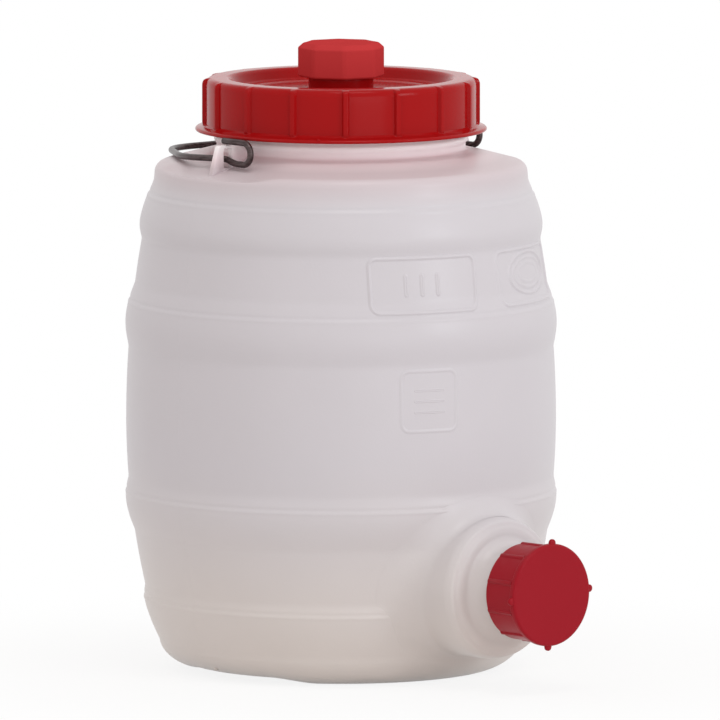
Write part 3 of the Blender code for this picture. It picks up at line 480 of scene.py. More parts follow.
def mould(grid, inside):
    # Lowest band's fade, fine lines, the foot raised beside the seams and hollows at the ears.
    b = barrel
    topR = b["top"][0]
    angle = np.arctan2(grid[..., 1], grid[..., 0])
    radius = np.hypot(grid[..., 0], grid[..., 1])
    z = grid[..., 2]
    onSide = (z > b["corner"]) & (z < b["shoulder"]) & (radius > topR)
    fine = 0.0 if inside else 1.0
    change = -bulge(z, bands[0]) * outletFade(angle)
    for number, band in enumerate(bands):
        change = change + fine * fineLine(z, band) * (1 - outletFade(angle) if number == 0 else 1.0)
    radius = radius + np.where(onSide, change, 0.0)
    seam = np.degrees(np.abs((angle + np.pi / 2) % np.pi - np.pi / 2))
    low = smooth(2 - seam / b["seamDegrees"]) * b["seamRecess"] * np.clip(1 - z / b["corner"], 0, 1)
    fromRing = radius - b["foot"] + b["footWidth"] + b["seamFade"]
    lift = np.where((z < b["corner"]) & (fromRing > 0), low * smooth(fromRing / b["seamFade"]), 0)
    rim = b["belly"] - b["upperTaper"]
    across = np.minimum(radius - topR, rim - radius) / (0.2 * (b["edge"][0] - topR))
    hollow = b["earRecess"] * smooth(2 - seam / b["earDegrees"]) * smooth(across)
    drop = np.where((z > b["shoulder"] - 3 * mm) & (radius > topR - 3 * mm), hollow, 0)
    return spun(radius, angle, z + lift - drop)


def seamLine(side):
    # Mould parting line: a hair-fine ridge up the wall at +X or -X.
    z = np.linspace(*barrel["seamRun"], 260)
    angle = 0.0 if side > 0 else np.pi
    width = np.array([-0.55, -0.25, 0.0, 0.25, 0.55, 0.0]) * mm
    rise = np.array([-0.15, 0.04, 0.10, 0.04, -0.15, -0.6]) * mm
    radius = wallRadius(z, angle)[:, None] + rise
    return spun(radius, angle + width / radius, z[:, None]), False, True


def egg(place, size):
    # Ellipsoid: place + size * (cos u cos v, sin u cos v, sin v).
    u, v = around(24), np.linspace(-np.pi / 2, np.pi / 2, 13)[:, None]
    return np.array(place) + spun(np.cos(v) + 0 * u, u, np.sin(v)) * np.array(size), False, True


boss = {
    "tube": 39.4 * mm, "columns": 168, "core": 21.6 * mm, "reachOfWall": 115 * mm,
    # how far the cove reaches along the wall and climbs out from it
    "coveSide": (19 * mm, 13 * mm), "coveTop": (11 * mm, 9 * mm), "coveBottom": (5 * mm, 5 * mm),
    "thread": (1.7 * mm, 2.4 * mm, 1.1 * mm, 9 * mm), "threadRun": (152.1 * mm, 167.0 * mm),
    # radius, distance out and corner in millimetres: the tube, the face, the spigot and its bore
    "section": ((39.4, 122), (39.3, 130.6, 3.0), (37.6, 134.8, 2.8), (35.2, 135.5, 1.2), (33.6, 136.4, 1.0),
                (31.4, 136.9, 1.6), (29.0, 137.0, 1.6), (26.6, 138.2, 1.4), (24.4, 141.0, 2.5),
                (23.2, 147.5, 2.0), (21.6, 149.5, 0.8), (21.6, 169.4, 0.6), (17.2, 169.4, 0.6),
                (17.2, 141.7, 2.0), (24.0, 132.8, 2.0), (36.8, 126.0, 3.0), (36.8, 99.0)),
}


def wallDistance(x, z):
    # How far out along the outlet the barrel's wall lies at x across and height z.
    turn = np.arcsin(np.clip(x / boss["reachOfWall"], -1, 1))
    side = wallRadius(np.maximum(z, barrel["corner"]), -np.pi / 2 + turn, False)
    radius = np.where(z < barrel["corner"], cornerRadius(z), side)
    return np.sqrt(np.maximum(radius ** 2 - x ** 2, 0))


def bossGrid():
    # About the outlet's axis: a cove that leaves the wall along it and turns up into the tube, then a
    # turned section out over the face and spigot, back through the bore and behind the wall.
    b = boss
    phi = around(b["columns"])
    side = np.cos(phi) ** 2
    top, bottom = np.clip(np.sin(phi), 0, 1) ** 2, np.clip(-np.sin(phi), 0, 1) ** 2
    reach, climb = (side * b["coveSide"][k] + top * b["coveTop"][k] + bottom * b["coveBottom"][k]
                    for k in (0, 1))
    t = np.linspace(0, np.pi / 2, 14)[:, None]
    rho = b["tube"] + reach * (1 - np.sin(t))
    x, z = rho * np.cos(phi), rho * np.sin(phi) + outletZ
    cove = wallDistance(x, np.maximum(z, 2 * mm)) + climb * (1 - np.cos(t)) - 0.04 * mm * (1 - np.sin(t))
    buried = cove[:1] - 1.0 * mm
    section = rounded(b["section"], 6) * mm
    radii = np.concatenate([rho[:1] + 0 * phi, rho, section[:, :1] + 0 * phi])
    depth = np.concatenate([buried, cove, section[:, 1:] + 0 * phi])
    return spun(radii, phi, depth)


ear = {"half": 1.6 * mm, "barTop": 296.5 * mm, "barBottom": 294.5 * mm, "middle": 289 * mm,
       "holeIn": 81.8 * mm, "holeOut": 87.4 * mm, "holeLow": 283.9 * mm, "in": 67.6 * mm,
       "postTop": 91.3 * mm, "postMiddle": 93.6 * mm, "postFoot": 96.6 * mm, "footLow": 279.0 * mm,
       "edge": 1.4 * mm, "columns": 96}


def earGrid(side):
    # A flat loop round the hole: a superelliptic section carried round between the hole's outline and
    # the ear's outline, whose points are matched by the angle seen from the hole's middle.
    e = ear
    hole = rounded([(e["holeOut"], e["middle"]), (e["holeOut"], e["barBottom"], 1.2 * mm),
                    (e["holeIn"], e["barBottom"], 1.2 * mm), (e["holeIn"], e["holeLow"], 1.0 * mm),
                    (e["holeOut"], e["holeLow"], 1.0 * mm), (e["holeOut"], e["middle"])], 6)
    rim = rounded([(e["postMiddle"], e["middle"]), (e["postTop"], e["barTop"], 1.6 * mm),
                   (e["in"], e["barTop"], 0.3 * mm), (e["in"], e["footLow"], 0.3 * mm),
                   (e["postFoot"], e["footLow"], 0.3 * mm), (e["postMiddle"], e["middle"])], 6)
    centre = np.array([(e["holeIn"] + e["holeOut"]) / 2, (e["holeLow"] + e["barBottom"]) / 2])
    angles = around(e["columns"])

    def byAngle(path):
        turn = np.unwrap(np.arctan2(*(path - centre).T[::-1]))
        turn, order = np.unique(turn - turn[0], return_index=True)
        return np.stack([np.interp(angles, turn, path[order, k]) for k in (0, 1)], -1)

    a, b = byAngle(hole), byAngle(rim)
    v = around(20)
    lift = np.sign(np.sin(v)) * np.abs(np.sin(v)) ** 0.35 * e["half"]
    reach = np.sign(np.cos(v)) * np.abs(np.cos(v)) ** 0.7
    inward = np.minimum(1.0, e["edge"] / np.linalg.norm(b - a, axis=1)[:, None])
    # The section keeps its rounding near the two edges and is flat between them.
    s = 0.5 + 0.5 * np.sign(reach) * (1 - inward * (1 - np.abs(reach)))
    place = a[:, None] * (1 - s[..., None]) + b[:, None] * s[..., None]
    return np.stack([side * place[..., 0], lift + 0 * s, place[..., 1]], -1), True, True


frames = {"wide": (32.2 * mm, 14.8 * mm), "square": (16.6 * mm, 16.6 * mm), "corner": 4.5 * mm,
          "wideHeight": 223.8 * mm, "squareHeight": 160.2 * mm, "wideDegrees": (-107.2, -65.0),
          "squareDegrees": -107.2, "width": 1.5 * mm, "rise": 0.78 * mm, "squareRise": 0.351 * mm,
          "ovalHeight": 225.2 * mm,
          # half width, half height and rise of the rings inside the second wide frame
          "ovals": ((22.5 * mm, 11.4 * mm, 0.75 * mm), (17.5 * mm, 8.2 * mm, 0.4 * mm),
                    (12.0 * mm, 5.2 * mm, 0.25 * mm)),
          # places, outline (half width, half height, corner) and bead (width, rise) of the strokes
          "ticks": (-11.5 * mm, -2.0 * mm, 7.5 * mm), "tick": (0.55 * mm, 5.5 * mm, 0.54 * mm),
          "tickBead": (1.15 * mm, 0.45 * mm),
          "lines": (-6 * mm, 0.0, 6 * mm), "line": (9 * mm, 0.4 * mm, 0.39 * mm),
          "lineBead": (0.6 * mm, 0.22 * mm)}


def beadGrid(outline, degrees, height, width, rise):
    # A raised bead along an outline wrapped onto the wall: the rise falls off as a squared cosine.
    run = np.roll(outline, -1, 0) - np.roll(outline, 1, 0)
    run /= np.linalg.norm(run, axis=1, keepdims=True)
    normal = np.stack([run[:, 1], -run[:, 0]], -1)
    s = np.concatenate([np.linspace(-1, 1, 11), [0.0]])
    lift = np.concatenate([rise * np.cos(s[:11] * np.pi / 2) ** 2 - 0.03 * mm, [-0.9 * mm]])
    place = outline[:, None] + normal[:, None] * (s * width)[:, None]
    z = height + place[..., 1]
    radius = wallRadius(z) + lift
    return spun(radius, math.radians(degrees) + place[..., 0] / radius, z), True, True


def roundedBox(halfWidth, halfHeight, corner, perCorner=8, between=16):
    # Rectangle with round corners, as (across, up), with points spread along the straight sides.
    t = np.linspace(0, np.pi / 2, perCorner)
    arcs = [np.stack([sx * (halfWidth - corner) + corner * np.cos(t + k * np.pi / 2),
                      sy * (halfHeight - corner) + corner * np.sin(t + k * np.pi / 2)], -1)
            for k, (sx, sy) in enumerate(((1, 1), (-1, 1), (-1, -1), (1, -1)))]
    path = []
    for k in range(4):
        a, b = arcs[k][-1], arcs[(k + 1) % 4][0]
        path += [arcs[k], a + (b - a) * np.linspace(0, 1, between + 2)[1:-1, None]]
    return np.concatenate(path)


def frameGrids():
    # Two wide frames and a square one, with rings, upright ticks and faint lines inside them.
    f = frames
    grids = [beadGrid(roundedBox(*f["wide"], f["corner"]), d, f["wideHeight"], f["width"], f["rise"])
             for d in f["wideDegrees"]]
    grids.append(beadGrid(roundedBox(*f["square"], f["corner"]), f["squareDegrees"], f["squareHeight"],
                          f["width"], f["squareRise"]))
    turn = around(72)
    for halfWidth, halfHeight, rise in f["ovals"]:
        oval = np.stack([halfWidth * np.cos(turn), halfHeight * np.sin(turn)], -1)
        grids.append(beadGrid(oval, f["wideDegrees"][1], f["ovalHeight"], f["width"], rise))
    for across in f["ticks"]:
        tick = roundedBox(*f["tick"], 4, 6) + np.array([across, 0])
        grids.append(beadGrid(tick, f["wideDegrees"][0], f["wideHeight"], *f["tickBead"]))
    for up in f["lines"]:
        line = roundedBox(*f["line"], 4, 10) + np.array([0, up])
        grids.append(beadGrid(line, f["squareDegrees"], f["squareHeight"], *f["lineBead"]))
    return grids


def makeBarrel():
    # The outer and inner half sections turned into one skin, with a window behind the outlet.
    b = barrel
    count = b["columns"]
    angles = around(count, -np.pi / 2)
    outer = barrelProfile()
    # The window's cells are left out of both skins, which four narrow strips join there.
    half = int(b["outletDegrees"] / 360 * count)
    cols = np.arange(-half, half + 1) % count
    offRing = outer[:, 0] < b["foot"]
    lowRow, highRow = (int(np.argmin(np.abs(outer[:, 1] - z) + offRing)) for z in b["outletRows"])
    # The inner skin has every third of the outer one's rows, and all of them beside the window.
    index = np.arange(len(outer))
    beside = (index >= lowRow) & (index <= highRow)
    thin = np.where((index % 3 == 0) | beside | (index > len(outer) - 30))[0]
    inner = innerProfile(outer)[thin]
    wall = np.concatenate([mould(turned(outer, angles), False), mould(turned(inner, angles), True)[::-1]])

    def behind(row):
        return len(wall) - 1 - np.searchsorted(thin, row)

    def keep(gridRows, gridCols):
        i, j = np.meshgrid(np.arange(gridRows - 1), np.arange(gridCols), indexing="ij")
        inOuter = (i >= lowRow) & (i < highRow)
        inInner = (i >= behind(highRow)) & (i < behind(lowRow))
        return ~(np.isin(j, cols) & (inOuter | inInner)).reshape(-1)

    strips = []
    for row in (lowRow, highRow):
        near, far, nextCols = row * count, behind(row) * count, (cols + 1) % count
        strips.append(np.stack([near + cols, near + nextCols, far + nextCols, far + cols], -1))
    run = np.arange(lowRow, highRow)
    for col in (cols[0], (cols[-1] + 1) % count):
        strips.append(np.stack([run * count + col, (run + 1) * count + col,
                                behind(run + 1) * count + col, behind(run) * count + col], -1))
    grids = [(wall, False, True)]
    grids += ridge(b["neck"], *b["thread"], *b["threadRun"])
    grids += [seamLine(1), seamLine(-1)]
    grids += [egg((side * b["pip"][0], 0, b["pip"][1]), b["pipSize"]) for side in (1, -1)]
    makePiece("barrelShell", grids, naturalPlastic, "barrel",
              ["barrel_front", "barrel_rear", "barrel_base", "barrel_neck"], 50, np.concatenate(strips), keep)
    grids = toOutlet([(bossGrid(), True, True)] + ridge(boss["core"], *boss["thread"], *boss["threadRun"]))
    makePiece("outletShell", grids, naturalPlastic, "barrel", ["outlet_boss", "spigot"], 50)
    makePiece("bailEars", [earGrid(1), earGrid(-1)], naturalPlastic, "barrel", (), 50)
    makePiece("wallFrames", frameGrids(), naturalPlastic, "barrel", (), 50)


makeBarrel()


# Screw lid, vent cap and seals

lid = {
    "ribs": 16, "ribPhase": math.radians(230.5), "ribWidth": 2.3 * mm, "ribFlank": 1.0 * mm,
    "ribRise": 1.9 * mm, "ribFoot": 302.0 * mm, "ribFootFade": 1.6 * mm, "ribTop": 70.8 * mm,
    "ribTopFade": 3.6 * mm, "ribSpan": 2.9 * mm, "ribCells": 15, "bayCells": 11,
    "outside": 75.1 * mm, "skirt": 71.9 * mm, "thread": (-2.3 * mm, 3.0 * mm, 1.4 * mm, 12 * mm),
    "threadRun": (301.0 * mm, 314.5 * mm), "spout": 16 * mm,
    "spoutThread": (1.6 * mm, 1.5 * mm, 0.6 * mm, 6 * mm), "spoutRun": (331.9 * mm, 341.6 * mm),
    "pip": (80.0 * mm, 301.3 * mm), "pipDegrees": 219.7, "pipSize": (1.0 * mm, 1.0 * mm, 0.9 * mm),
    # radius, height and corner in millimetres: the spout and floor, the rim and skirt, the underside
    "top": ((13.0, 319.6), (13.0, 343.1, 0.4), (16.0, 343.1, 0.6), (16.0, 330.15, 0.3), (18.0, 330.15, 0.6),
            (18.0, 322.0, 1.6), (22.0, 321.9, 0.6), (50.2, 321.9, 0.4), (51.6, 322.5, 0.5),
            (58.6, 322.5, 1.2), (61.4, 327.4, 1.2), (63.0, 328.6, 1.6), (66.4, 328.6)),
    "side": ((66.4, 328.6), (75.1, 328.6, 4.3), (75.1, 318.0)),
    "sideRows": (315, 312, 309, 306.5, 304.8, 304.0),
    "under": ((75.1, 303.4), (76.6, 302.2, 1.2), (80.3, 301.3, 0.9), (80.95, 300.3, 0.6), (80.5, 299.32, 0.5),
              (71.9, 299.32, 0.4), (71.9, 323.4, 1.2), (70.8, 324.9, 0.8), (64.2, 324.9, 0.6),
              (63.5, 324.3, 0.5), (63.5, 318.9, 0.4), (60.6, 318.85, 0.6), (56.0, 319.6, 0.8),
              (13.0, 319.6)),
}


def lidAngles():
    # Closer together over each rib and its flanks than across the bays.
    sector = 2 * np.pi / lid["ribs"]
    fine = np.linspace(-1, 1, lid["ribCells"]) * (lid["ribSpan"] / lid["outside"])
    bay = np.linspace(fine[-1], sector + fine[0], lid["bayCells"] + 2)[1:-1]
    one = np.concatenate([fine, bay])
    return (lid["ribPhase"] + (np.arange(lid["ribs"]) * sector)[:, None] + one).reshape(-1)


def fromRib(angles, ribs, phase):
    # Angle from the nearest of a ring of ribs.
    sector = 2 * np.pi / ribs
    return np.abs((angles - phase + sector / 2) % sector - sector / 2)


def makeLid():
    # A turned section, with the skirt's part of it pushed straight out at each rib.
    angles = lidAngles()
    top = rounded(lid["top"], 6) * mm
    side = rounded(lid["side"], 14) * mm
    side = np.concatenate([side, np.array([(lid["outside"], z * mm) for z in lid["sideRows"]])])
    section = np.concatenate([top[:-1], side, rounded(lid["under"], 5)[:-1] * mm])
    r, z = section[:, 0], section[:, 1]
    row = np.arange(len(section))
    onSkirt = (row >= len(top) - 1) & (row < len(top) + len(side) + 6) & (z > lid["ribFoot"])
    fade = smooth((r - lid["ribTop"]) / lid["ribTopFade"]) * smooth((z - lid["ribFoot"]) / lid["ribFootFade"])
    away = fromRib(angles, lid["ribs"], lid["ribPhase"]) * lid["outside"]
    rib = 1 - smooth((away - lid["ribWidth"] / 2) / lid["ribFlank"])
    radius = r[:, None] + lid["ribRise"] * (fade * onSkirt)[:, None] * rib
    grids = [(spun(radius, angles, z[:, None]), True, True)]
    phase = matingPhase(barrel["threadRun"][0], lid["threadRun"][0], barrel["thread"][3])
    grids += ridge(lid["skirt"], *lid["thread"], *lid["threadRun"], phase)
    grids += ridge(lid["spout"], *lid["spoutThread"], *lid["spoutRun"])
    (out, height), turn = lid["pip"], math.radians(lid["pipDegrees"])
    grids.append(egg((out * math.cos(turn), out * math.sin(turn), height), lid["pipSize"]))
    makePiece("lidShell", grids, lidPlastic, "screw_lid", ["screw_lid"], 44)


def seal(name, inner, outer, low, high, cadNode, outlet=False):
    # A flat ring: a rectangle with soft corners turned about the axis.
    edge = min(0.6 * mm, (high - low) * 0.3)
    middle = (low + high) / 2
    section = rounded([(inner, middle), (inner, high, edge), (outer, high, edge), (outer, low, edge),
                       (inner, low, edge), (inner, middle)], 5)[:-1]
    grids = [(turned(section, around(128)), True, True)]
    makePiece(name, toOutlet(grids) if outlet else grids, sealRubber, cadNode, [cadNode], 60)


vent = {
    "flat": 22.45 * mm, "power": 64, "corner": 23.85 * mm, "cornerDegrees": 233.5, "columns": 256,
    "bore": 18.0 * mm, "thread": (-1.6 * mm, 1.5 * mm, 0.6 * mm, 6 * mm), "run": (331.9 * mm, 340.1 * mm),
    # inset from the outline, height and corner in millimetres: the outside up to the crown
    "outside": ((2.2, 329.2), (0.9, 329.2, 0.3), (0.0, 330.0, 0.5), (0.0, 345.4, 0.7), (3.1, 348.1, 1.0),
                (7.0, 348.1)),
    # radius and height: the crown's shallow dimple, then the hollow from the roof down to the lower rim
    "crown": ((10, 348.08), (4, 348.05), (3.6, 347.9), (3.0, 347.85), (0.0, 347.85)),
    "inside": ((0, 345.7), (18.0, 345.7, 0.8), (18.0, 331.6, 0.3), (18.4, 330.9, 0.3), (18.4, 329.2, 0.3),
               (19.6, 329.2)),
}


def makeVentCap():
    # Octagon with soft corners: apothem over the p-norm of the eight side directions' cosines, with
    # the corners kept just inside the solid's. One closed skin: the hollow, the outside, the crown.
    v = vent
    angles = around(v["columns"])
    sides = math.radians(v["cornerDegrees"]) + np.pi / 8 + np.arange(8) * np.pi / 4
    cosines = np.maximum(np.cos(angles[:, None] - sides), 0)
    outline = np.minimum(v["flat"] / (cosines ** v["power"]).sum(1) ** (1 / v["power"]), v["corner"])
    inset = rounded(v["outside"], 6) * mm
    outside = spun(outline - inset[:, :1], angles, inset[:, 1:])
    crown = turned(np.array(v["crown"]) * mm, angles)
    inside = turned(rounded(v["inside"], 5) * mm, angles)
    grids = [(np.concatenate([inside, outside, crown]), True, True)]
    phase = matingPhase(lid["spoutRun"][0], v["run"][0], lid["spoutThread"][3])
    grids += ridge(v["bore"], *v["thread"], *v["run"], phase)
    makePiece("ventCapShell", grids, ventCapPlastic, "vent_cap", ["vent_cap"], 50)


makeLid()
seal("lidSeal", 64.7 * mm, 70.65 * mm, 322.1 * mm, 324.6 * mm, "lid_gasket")
makeVentCap()
seal("ventSeal", 12.2 * mm, 17.2 * mm, 343.4 * mm, 345.4 * mm, "vent_seal")


# Outlet cap

tap = {
    "skirt": 26.55 * mm, "disc": 28.3 * mm, "bore": 23.8 * mm, "columns": 300,
    "ribs": 10, "ribRise": 0.9 * mm, "ribWidth": 2.4 * mm, "ribFlank": 0.8 * mm, "ribDegrees": 54.5,
    "ribBand": (26.2 * mm, 27.0 * mm), "ribRun": (149.9 * mm, 170.6 * mm), "ribFoot": 150.2 * mm,
    "ribFootFade": 1.0 * mm, "nubDegrees": (87.0, 183.0, 267.0, 363.0), "nubRadius": 2.15 * mm,
    "nubReach": 2.55 * mm, "thread": (-1.7 * mm, 2.4 * mm, 1.1 * mm, 9 * mm),
    "run": (152.1 * mm, 164.6 * mm),
    # radius, distance out and corner in millimetres: the hollow, the skirt, the disc and its face
    "section": ((0, 172.0), (23.8, 172.0, 0.8), (23.8, 150.6, 0.3), (24.2, 149.75, 0.3), (26.1, 149.75, 0.5),
                (26.55, 150.6, 0.5), (26.6, 170.2, 0.5), (27.6, 171.0, 0.5), (28.3, 171.6, 0.4),
                (28.3, 174.1, 0.7), (27.5, 175.0, 0.8), (25.0, 174.95, 0.6), (4, 174.8, 0.6), (0, 174.8)),
    # distance out in millimetres and share of full size of each layer of a nub
    "nub": ((172.0, 0.0), (172.15, 0.75), (172.6, 0.95), (173.3, 1.0), (174.0, 0.95), (174.35, 0.75),
            (174.5, 0.0)),
}


def nubGrid(degrees):
    # Round-ended nub on the disc's rim: one outline in layers that shrink towards both faces.
    c = tap
    turn = math.radians(degrees)
    u = np.linspace(-np.pi / 2, np.pi / 2, 15)
    root, wide = [-4.0 * mm, -3.0 * mm], c["nubRadius"] * 1.25
    along = np.concatenate([root, c["nubRadius"] * np.cos(u), root[::-1]])
    across = np.concatenate([[-wide] * 2, c["nubRadius"] * np.sin(u), [wide] * 2])
    rise, share = np.array(c["nub"]).T[..., None]
    x = c["disc"] + c["nubReach"] - c["nubRadius"] + along.mean() + (along - along.mean()) * share
    y = across * share
    return np.stack([x * math.cos(turn) - y * math.sin(turn), x * math.sin(turn) + y * math.cos(turn),
                     rise * mm + 0 * x], -1), False, True


def makeTapCap():
    # A turned section with low ribs down the skirt, where the radius swells over each rib's width.
    c = tap
    angles = around(c["columns"])
    section = rounded(c["section"], 5) * mm
    r, z = section[:, :1] + 0 * angles, section[:, 1:]
    away = fromRib(angles, c["ribs"], math.radians(c["ribDegrees"])) * c["skirt"]
    rib = 1 - smooth((away - c["ribWidth"] * 0.25) / c["ribFlank"])
    (inside, outside), (foot, top) = c["ribBand"], c["ribRun"]
    onSkirt = (r > inside) & (r < outside) & (z > foot) & (z < top)
    grown = r + onSkirt * c["ribRise"] * rib * smooth((z - c["ribFoot"]) / c["ribFootFade"])
    grids = [(spun(grown, angles, z), False, True)] + [nubGrid(degrees) for degrees in c["nubDegrees"]]
    phase = matingPhase(boss["threadRun"][0], c["run"][0], boss["thread"][3])
    grids += ridge(c["bore"], *c["thread"], *c["run"], phase)
    makePiece("tapCapShell", toOutlet(grids), tapPlastic, "tap_cap", ["tap_cap"], 44)


makeTapCap()
seal("tapSeal", 17.2 * mm, 22.8 * mm, 169.7 * mm, 171.7 * mm, "tap_seal", outlet=True)


# Wire bail

bail = {"wire": 1.78 * mm, "eye": 84.6 * mm, "bar": 295.5 * mm, "arm": 38 * mm, "reach": 95 * mm,
        "grip": 44 * mm, "drop": 10.5 * mm, "hookFall": 6.8 * mm, "eyeReach": 20.5 * mm,
        "eyeRise": 3.1 * mm, "eyeFall": 9.0 * mm, "eyeStart": 7.6 * mm, "end": 1.9 * mm,
        "endBevel": 0.25 * mm, "squaredTo": (0.7, 0.7, 0.1)}


def softPath(corners, steps=12):
    # 3-D polyline whose inner corners become quadratic arcs of the given reach.
    points = np.array([c[:3] for c in corners], float)
    path = [points[:1]]
    t = np.linspace(0, 1, steps + 1)[:, None]
    for i in range(1, len(points) - 1):
        size = corners[i][3]
        before, here, after = points[i - 1], points[i], points[i + 1]
        a = here + (before - here) / np.linalg.norm(before - here) * size
        b = here + (after - here) / np.linalg.norm(after - here) * size
        path.append((1 - t) ** 2 * a + 2 * t * (1 - t) * here + t * t * b)
    path.append(points[-1:])
    return np.concatenate(path)


def makeBail():
    # A round section carried along half of the wire's path, from the grip's middle round the arm to
    # the eye's cut end, and its mirror image.
    b = bail
    x = b["eye"]
    middle = (b["eyeRise"] - b["eyeFall"]) / 2
    radius = (b["eyeRise"] + b["eyeFall"]) / 2
    centreY = -b["eyeReach"] + radius
    armDrop = -b["hookFall"] - (b["drop"] - b["hookFall"]) * b["arm"] / b["reach"]
    route = softPath([(0, b["reach"], -b["drop"]), (b["grip"], b["reach"], -b["drop"], 20 * mm),
                      (x, b["arm"], armDrop, 16 * mm), (x, 0, -b["hookFall"], 3 * mm),
                      (x, -b["eyeStart"], -b["eyeFall"], 3.5 * mm), (x, centreY, -b["eyeFall"])])
    turn = -np.pi / 2 - np.linspace(0, np.pi, 33)[1:]
    eye = np.stack([x + 0 * turn, centreY + radius * np.cos(turn), middle + radius * np.sin(turn)], -1)
    end = np.array([[x, centreY / 2, b["eyeRise"]], [x, b["end"], b["eyeRise"]]])
    path = np.concatenate([route, eye, end])
    path = path[np.concatenate([[True], np.linalg.norm(np.diff(path, axis=0), axis=1) > 1e-6])]
    along = np.gradient(path, axis=0)
    along /= np.linalg.norm(along, axis=1, keepdims=True)
    # The section is squared to one slanting direction, so it never twists.
    first = np.cross(along, np.array(b["squaredTo"]))
    first /= np.linalg.norm(first, axis=1, keepdims=True)
    second = np.cross(along, first)
    u = around(18)[:, None]
    ring = (first[:, None] * np.cos(u) + second[:, None] * np.sin(u)) * b["wire"]
    # The cut end: a small bevel, then a flat face closed at its middle.
    tip = path[-1] + along[-1] * b["endBevel"]
    tube = np.concatenate([path[:, None] + ring, (tip + ring[-1] * 0.86)[None], (tip + 0 * ring[-1])[None]])
    tube[..., 2] += b["bar"]
    tube[0, :, 0] = 0.0
    halves = [(tube, False, True), (tube * np.array([-1, 1, 1]), False, True)]
    makePiece("bailWire", halves, wireSteel, "bail_handle", ["bail_handle"], 55)


makeBail()
print("pieces made")


# Floor, lamps and camera

shot = {"azimuth": -41.5, "elevation": 6.3, "distance": 12.0, "lens": 1082.0, "height": 171 * mm,
        "aside": 10.5 * mm, "sensor": 36.0, "farthest": 200.0}
room = {"light": (1.0, 0.963, 0.937, 1.0), "strength": 0.785, "floor": (0.88, 0.86, 0.85, 1.0),
        "floorHalf": 4.0, "floorRoughness": 0.9, "shadowRange": (0.12, 0.40), "whiteUnder": 0.86,
        "lampsAimedAt": 170 * mm}
lamps = (
    # name, azimuth, elevation, distance, width, height, power, colour
    ("key", 15.0, 16.0, 2.4, 0.6, 0.7, 8.2, (0.88, 0.95, 1.0)),
    ("low", -18.0, 2.0, 2.4, 1.2, 0.3, 2.6, (0.95, 0.97, 1.0)),
    ("top", -25.0, 66.0, 2.2, 0.9, 0.7, 8.0, (1.0, 0.99, 0.98)),
)
white = (1.0, 1.0, 1.0, 1.0)


def direction(azimuth, elevation):
    # Unit vector towards a place round the barrel, azimuth 0 being straight in front of the outlet.
    a, e = math.radians(azimuth), math.radians(elevation)
    return np.array([math.sin(a) * math.cos(e), -math.cos(a) * math.cos(e), math.sin(e)])


def aim(obj, place, target):
    # Puts a lamp or camera at its place, looking at the target.
    obj.location = Vector(place)
    obj.rotation_euler = Vector(target - place).to_track_quat("-Z", "Y").to_euler()


def paleToCamera(tree, seen, lit):
    # One shader where the camera, gloss and clear things see it, the other for plain light.
    path = node(tree, "ShaderNodeLightPath", (-900, 300))
    share = path.outputs["Is Camera Ray"]
    for number, kind in enumerate(("Is Glossy Ray", "Is Transmission Ray")):
        share = reckon(tree, "MAXIMUM", (-700 + 180 * number, 300), share, path.outputs[kind])
    mix = node(tree, "ShaderNodeMixShader", (100, 200))
    tree.links.new(share, mix.inputs[0])
    tree.links.new(lit.outputs[0], mix.inputs[1])
    tree.links.new(seen.outputs[0], mix.inputs[2])
    return mix.outputs[0]


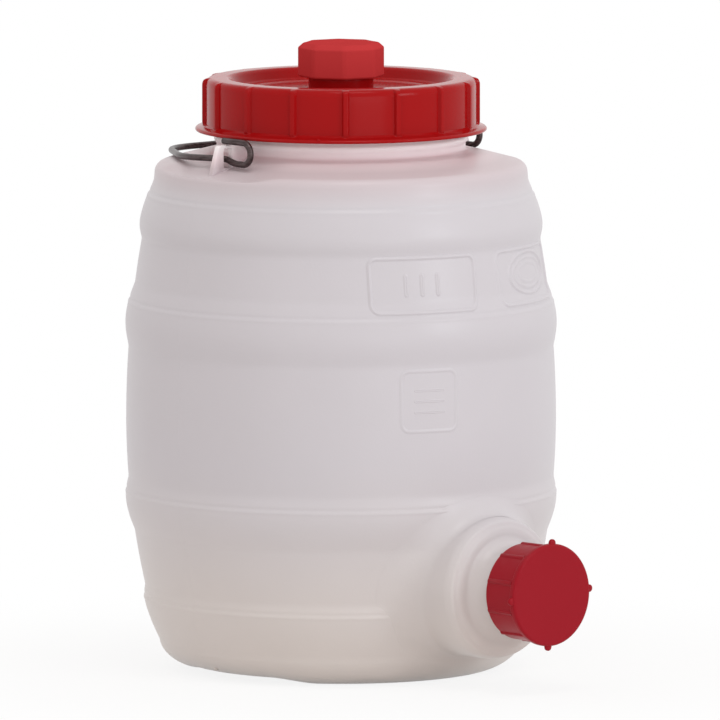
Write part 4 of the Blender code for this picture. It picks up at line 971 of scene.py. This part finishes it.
def makeFloorPaint():
    # Pale matt paint that keeps the shadow near the object and reaches white further off.
    paint = bpy.data.materials.new("floorPaint")
    paint.use_nodes = True
    tree = paint.node_tree
    join = tree.links.new
    shader = tree.nodes["Principled BSDF"]
    shader.inputs["Base Color"].default_value = room["floor"]
    shader.inputs["Roughness"].default_value = room["floorRoughness"]
    glow = node(tree, "ShaderNodeEmission", (-200, -500), in_Color=white, in_Strength=1.0)
    place = node(tree, "ShaderNodeTexCoord", (-900, -200))
    away = node(tree, "ShaderNodeVectorMath", (-700, -200), operation="LENGTH")
    near, far = room["shadowRange"]
    share = node(tree, "ShaderNodeMapRange", (-500, -200), interpolation_type="SMOOTHSTEP",
                 in_From_Min=near, in_From_Max=far, in_To_Min=room["whiteUnder"], in_To_Max=1.0)
    join(place.outputs["Object"], away.inputs[0])
    join(away.outputs["Value"], share.inputs["Value"])
    fade = node(tree, "ShaderNodeMixShader", (-100, -200))
    join(share.outputs[0], fade.inputs[0])
    join(shader.outputs[0], fade.inputs[1])
    join(glow.outputs[0], fade.inputs[2])
    join(paleToCamera(tree, fade, shader), tree.nodes["Material Output"].inputs["Surface"])
    return paint


def makeWorld():
    # Even studio light, with plain white wherever the background is seen.
    world = bpy.data.worlds.new("studio")
    world.use_nodes = True
    tree = world.node_tree
    tree.nodes.clear()
    lit = node(tree, "ShaderNodeBackground", (-300, 100),
               in_Color=room["light"], in_Strength=room["strength"])
    seen = node(tree, "ShaderNodeBackground", (-300, -100), in_Color=white, in_Strength=1.0)
    out = node(tree, "ShaderNodeOutputWorld", (400, 100))
    tree.links.new(paleToCamera(tree, seen, lit), out.inputs["Surface"])
    return world


def makeRoom():
    scene = bpy.context.scene
    scene.world = makeWorld()
    floor = bpy.data.meshes.new("floor")
    half = room["floorHalf"]
    corners = [(-half, -half, 0), (half, -half, 0), (half, half, 0), (-half, half, 0)]
    floor.from_pydata(corners, [], [(0, 1, 2, 3)])
    floor.materials.append(makeFloorPaint())
    ground = bpy.data.objects.new("floor", floor)
    scene.collection.objects.link(ground)

    focus = np.array([0, axisY, room["lampsAimedAt"]])
    for name, azimuth, elevation, distance, width, height, power, colour in lamps:
        data = bpy.data.lights.new(name, "AREA")
        data.shape = "RECTANGLE"
        data.size, data.size_y, data.energy, data.color = width, height, power, colour
        lamp = bpy.data.objects.new(name, data)
        scene.collection.objects.link(lamp)
        aim(lamp, focus + direction(azimuth, elevation) * distance, focus)

    turn = math.radians(shot["azimuth"])
    right = np.array([math.cos(turn), math.sin(turn), 0])
    target = np.array([0, axisY, shot["height"]]) + right * shot["aside"]
    data = bpy.data.cameras.new("camera")
    data.lens, data.sensor_width, data.clip_end = shot["lens"], shot["sensor"], shot["farthest"]
    camera = bpy.data.objects.new("camera", data)
    scene.collection.objects.link(camera)
    aim(camera, target + direction(shot["azimuth"], shot["elevation"]) * shot["distance"], target)
    scene.camera = camera
    scene.view_settings.view_transform = "Standard"
    print("room, lamps and camera made")


makeRoom()
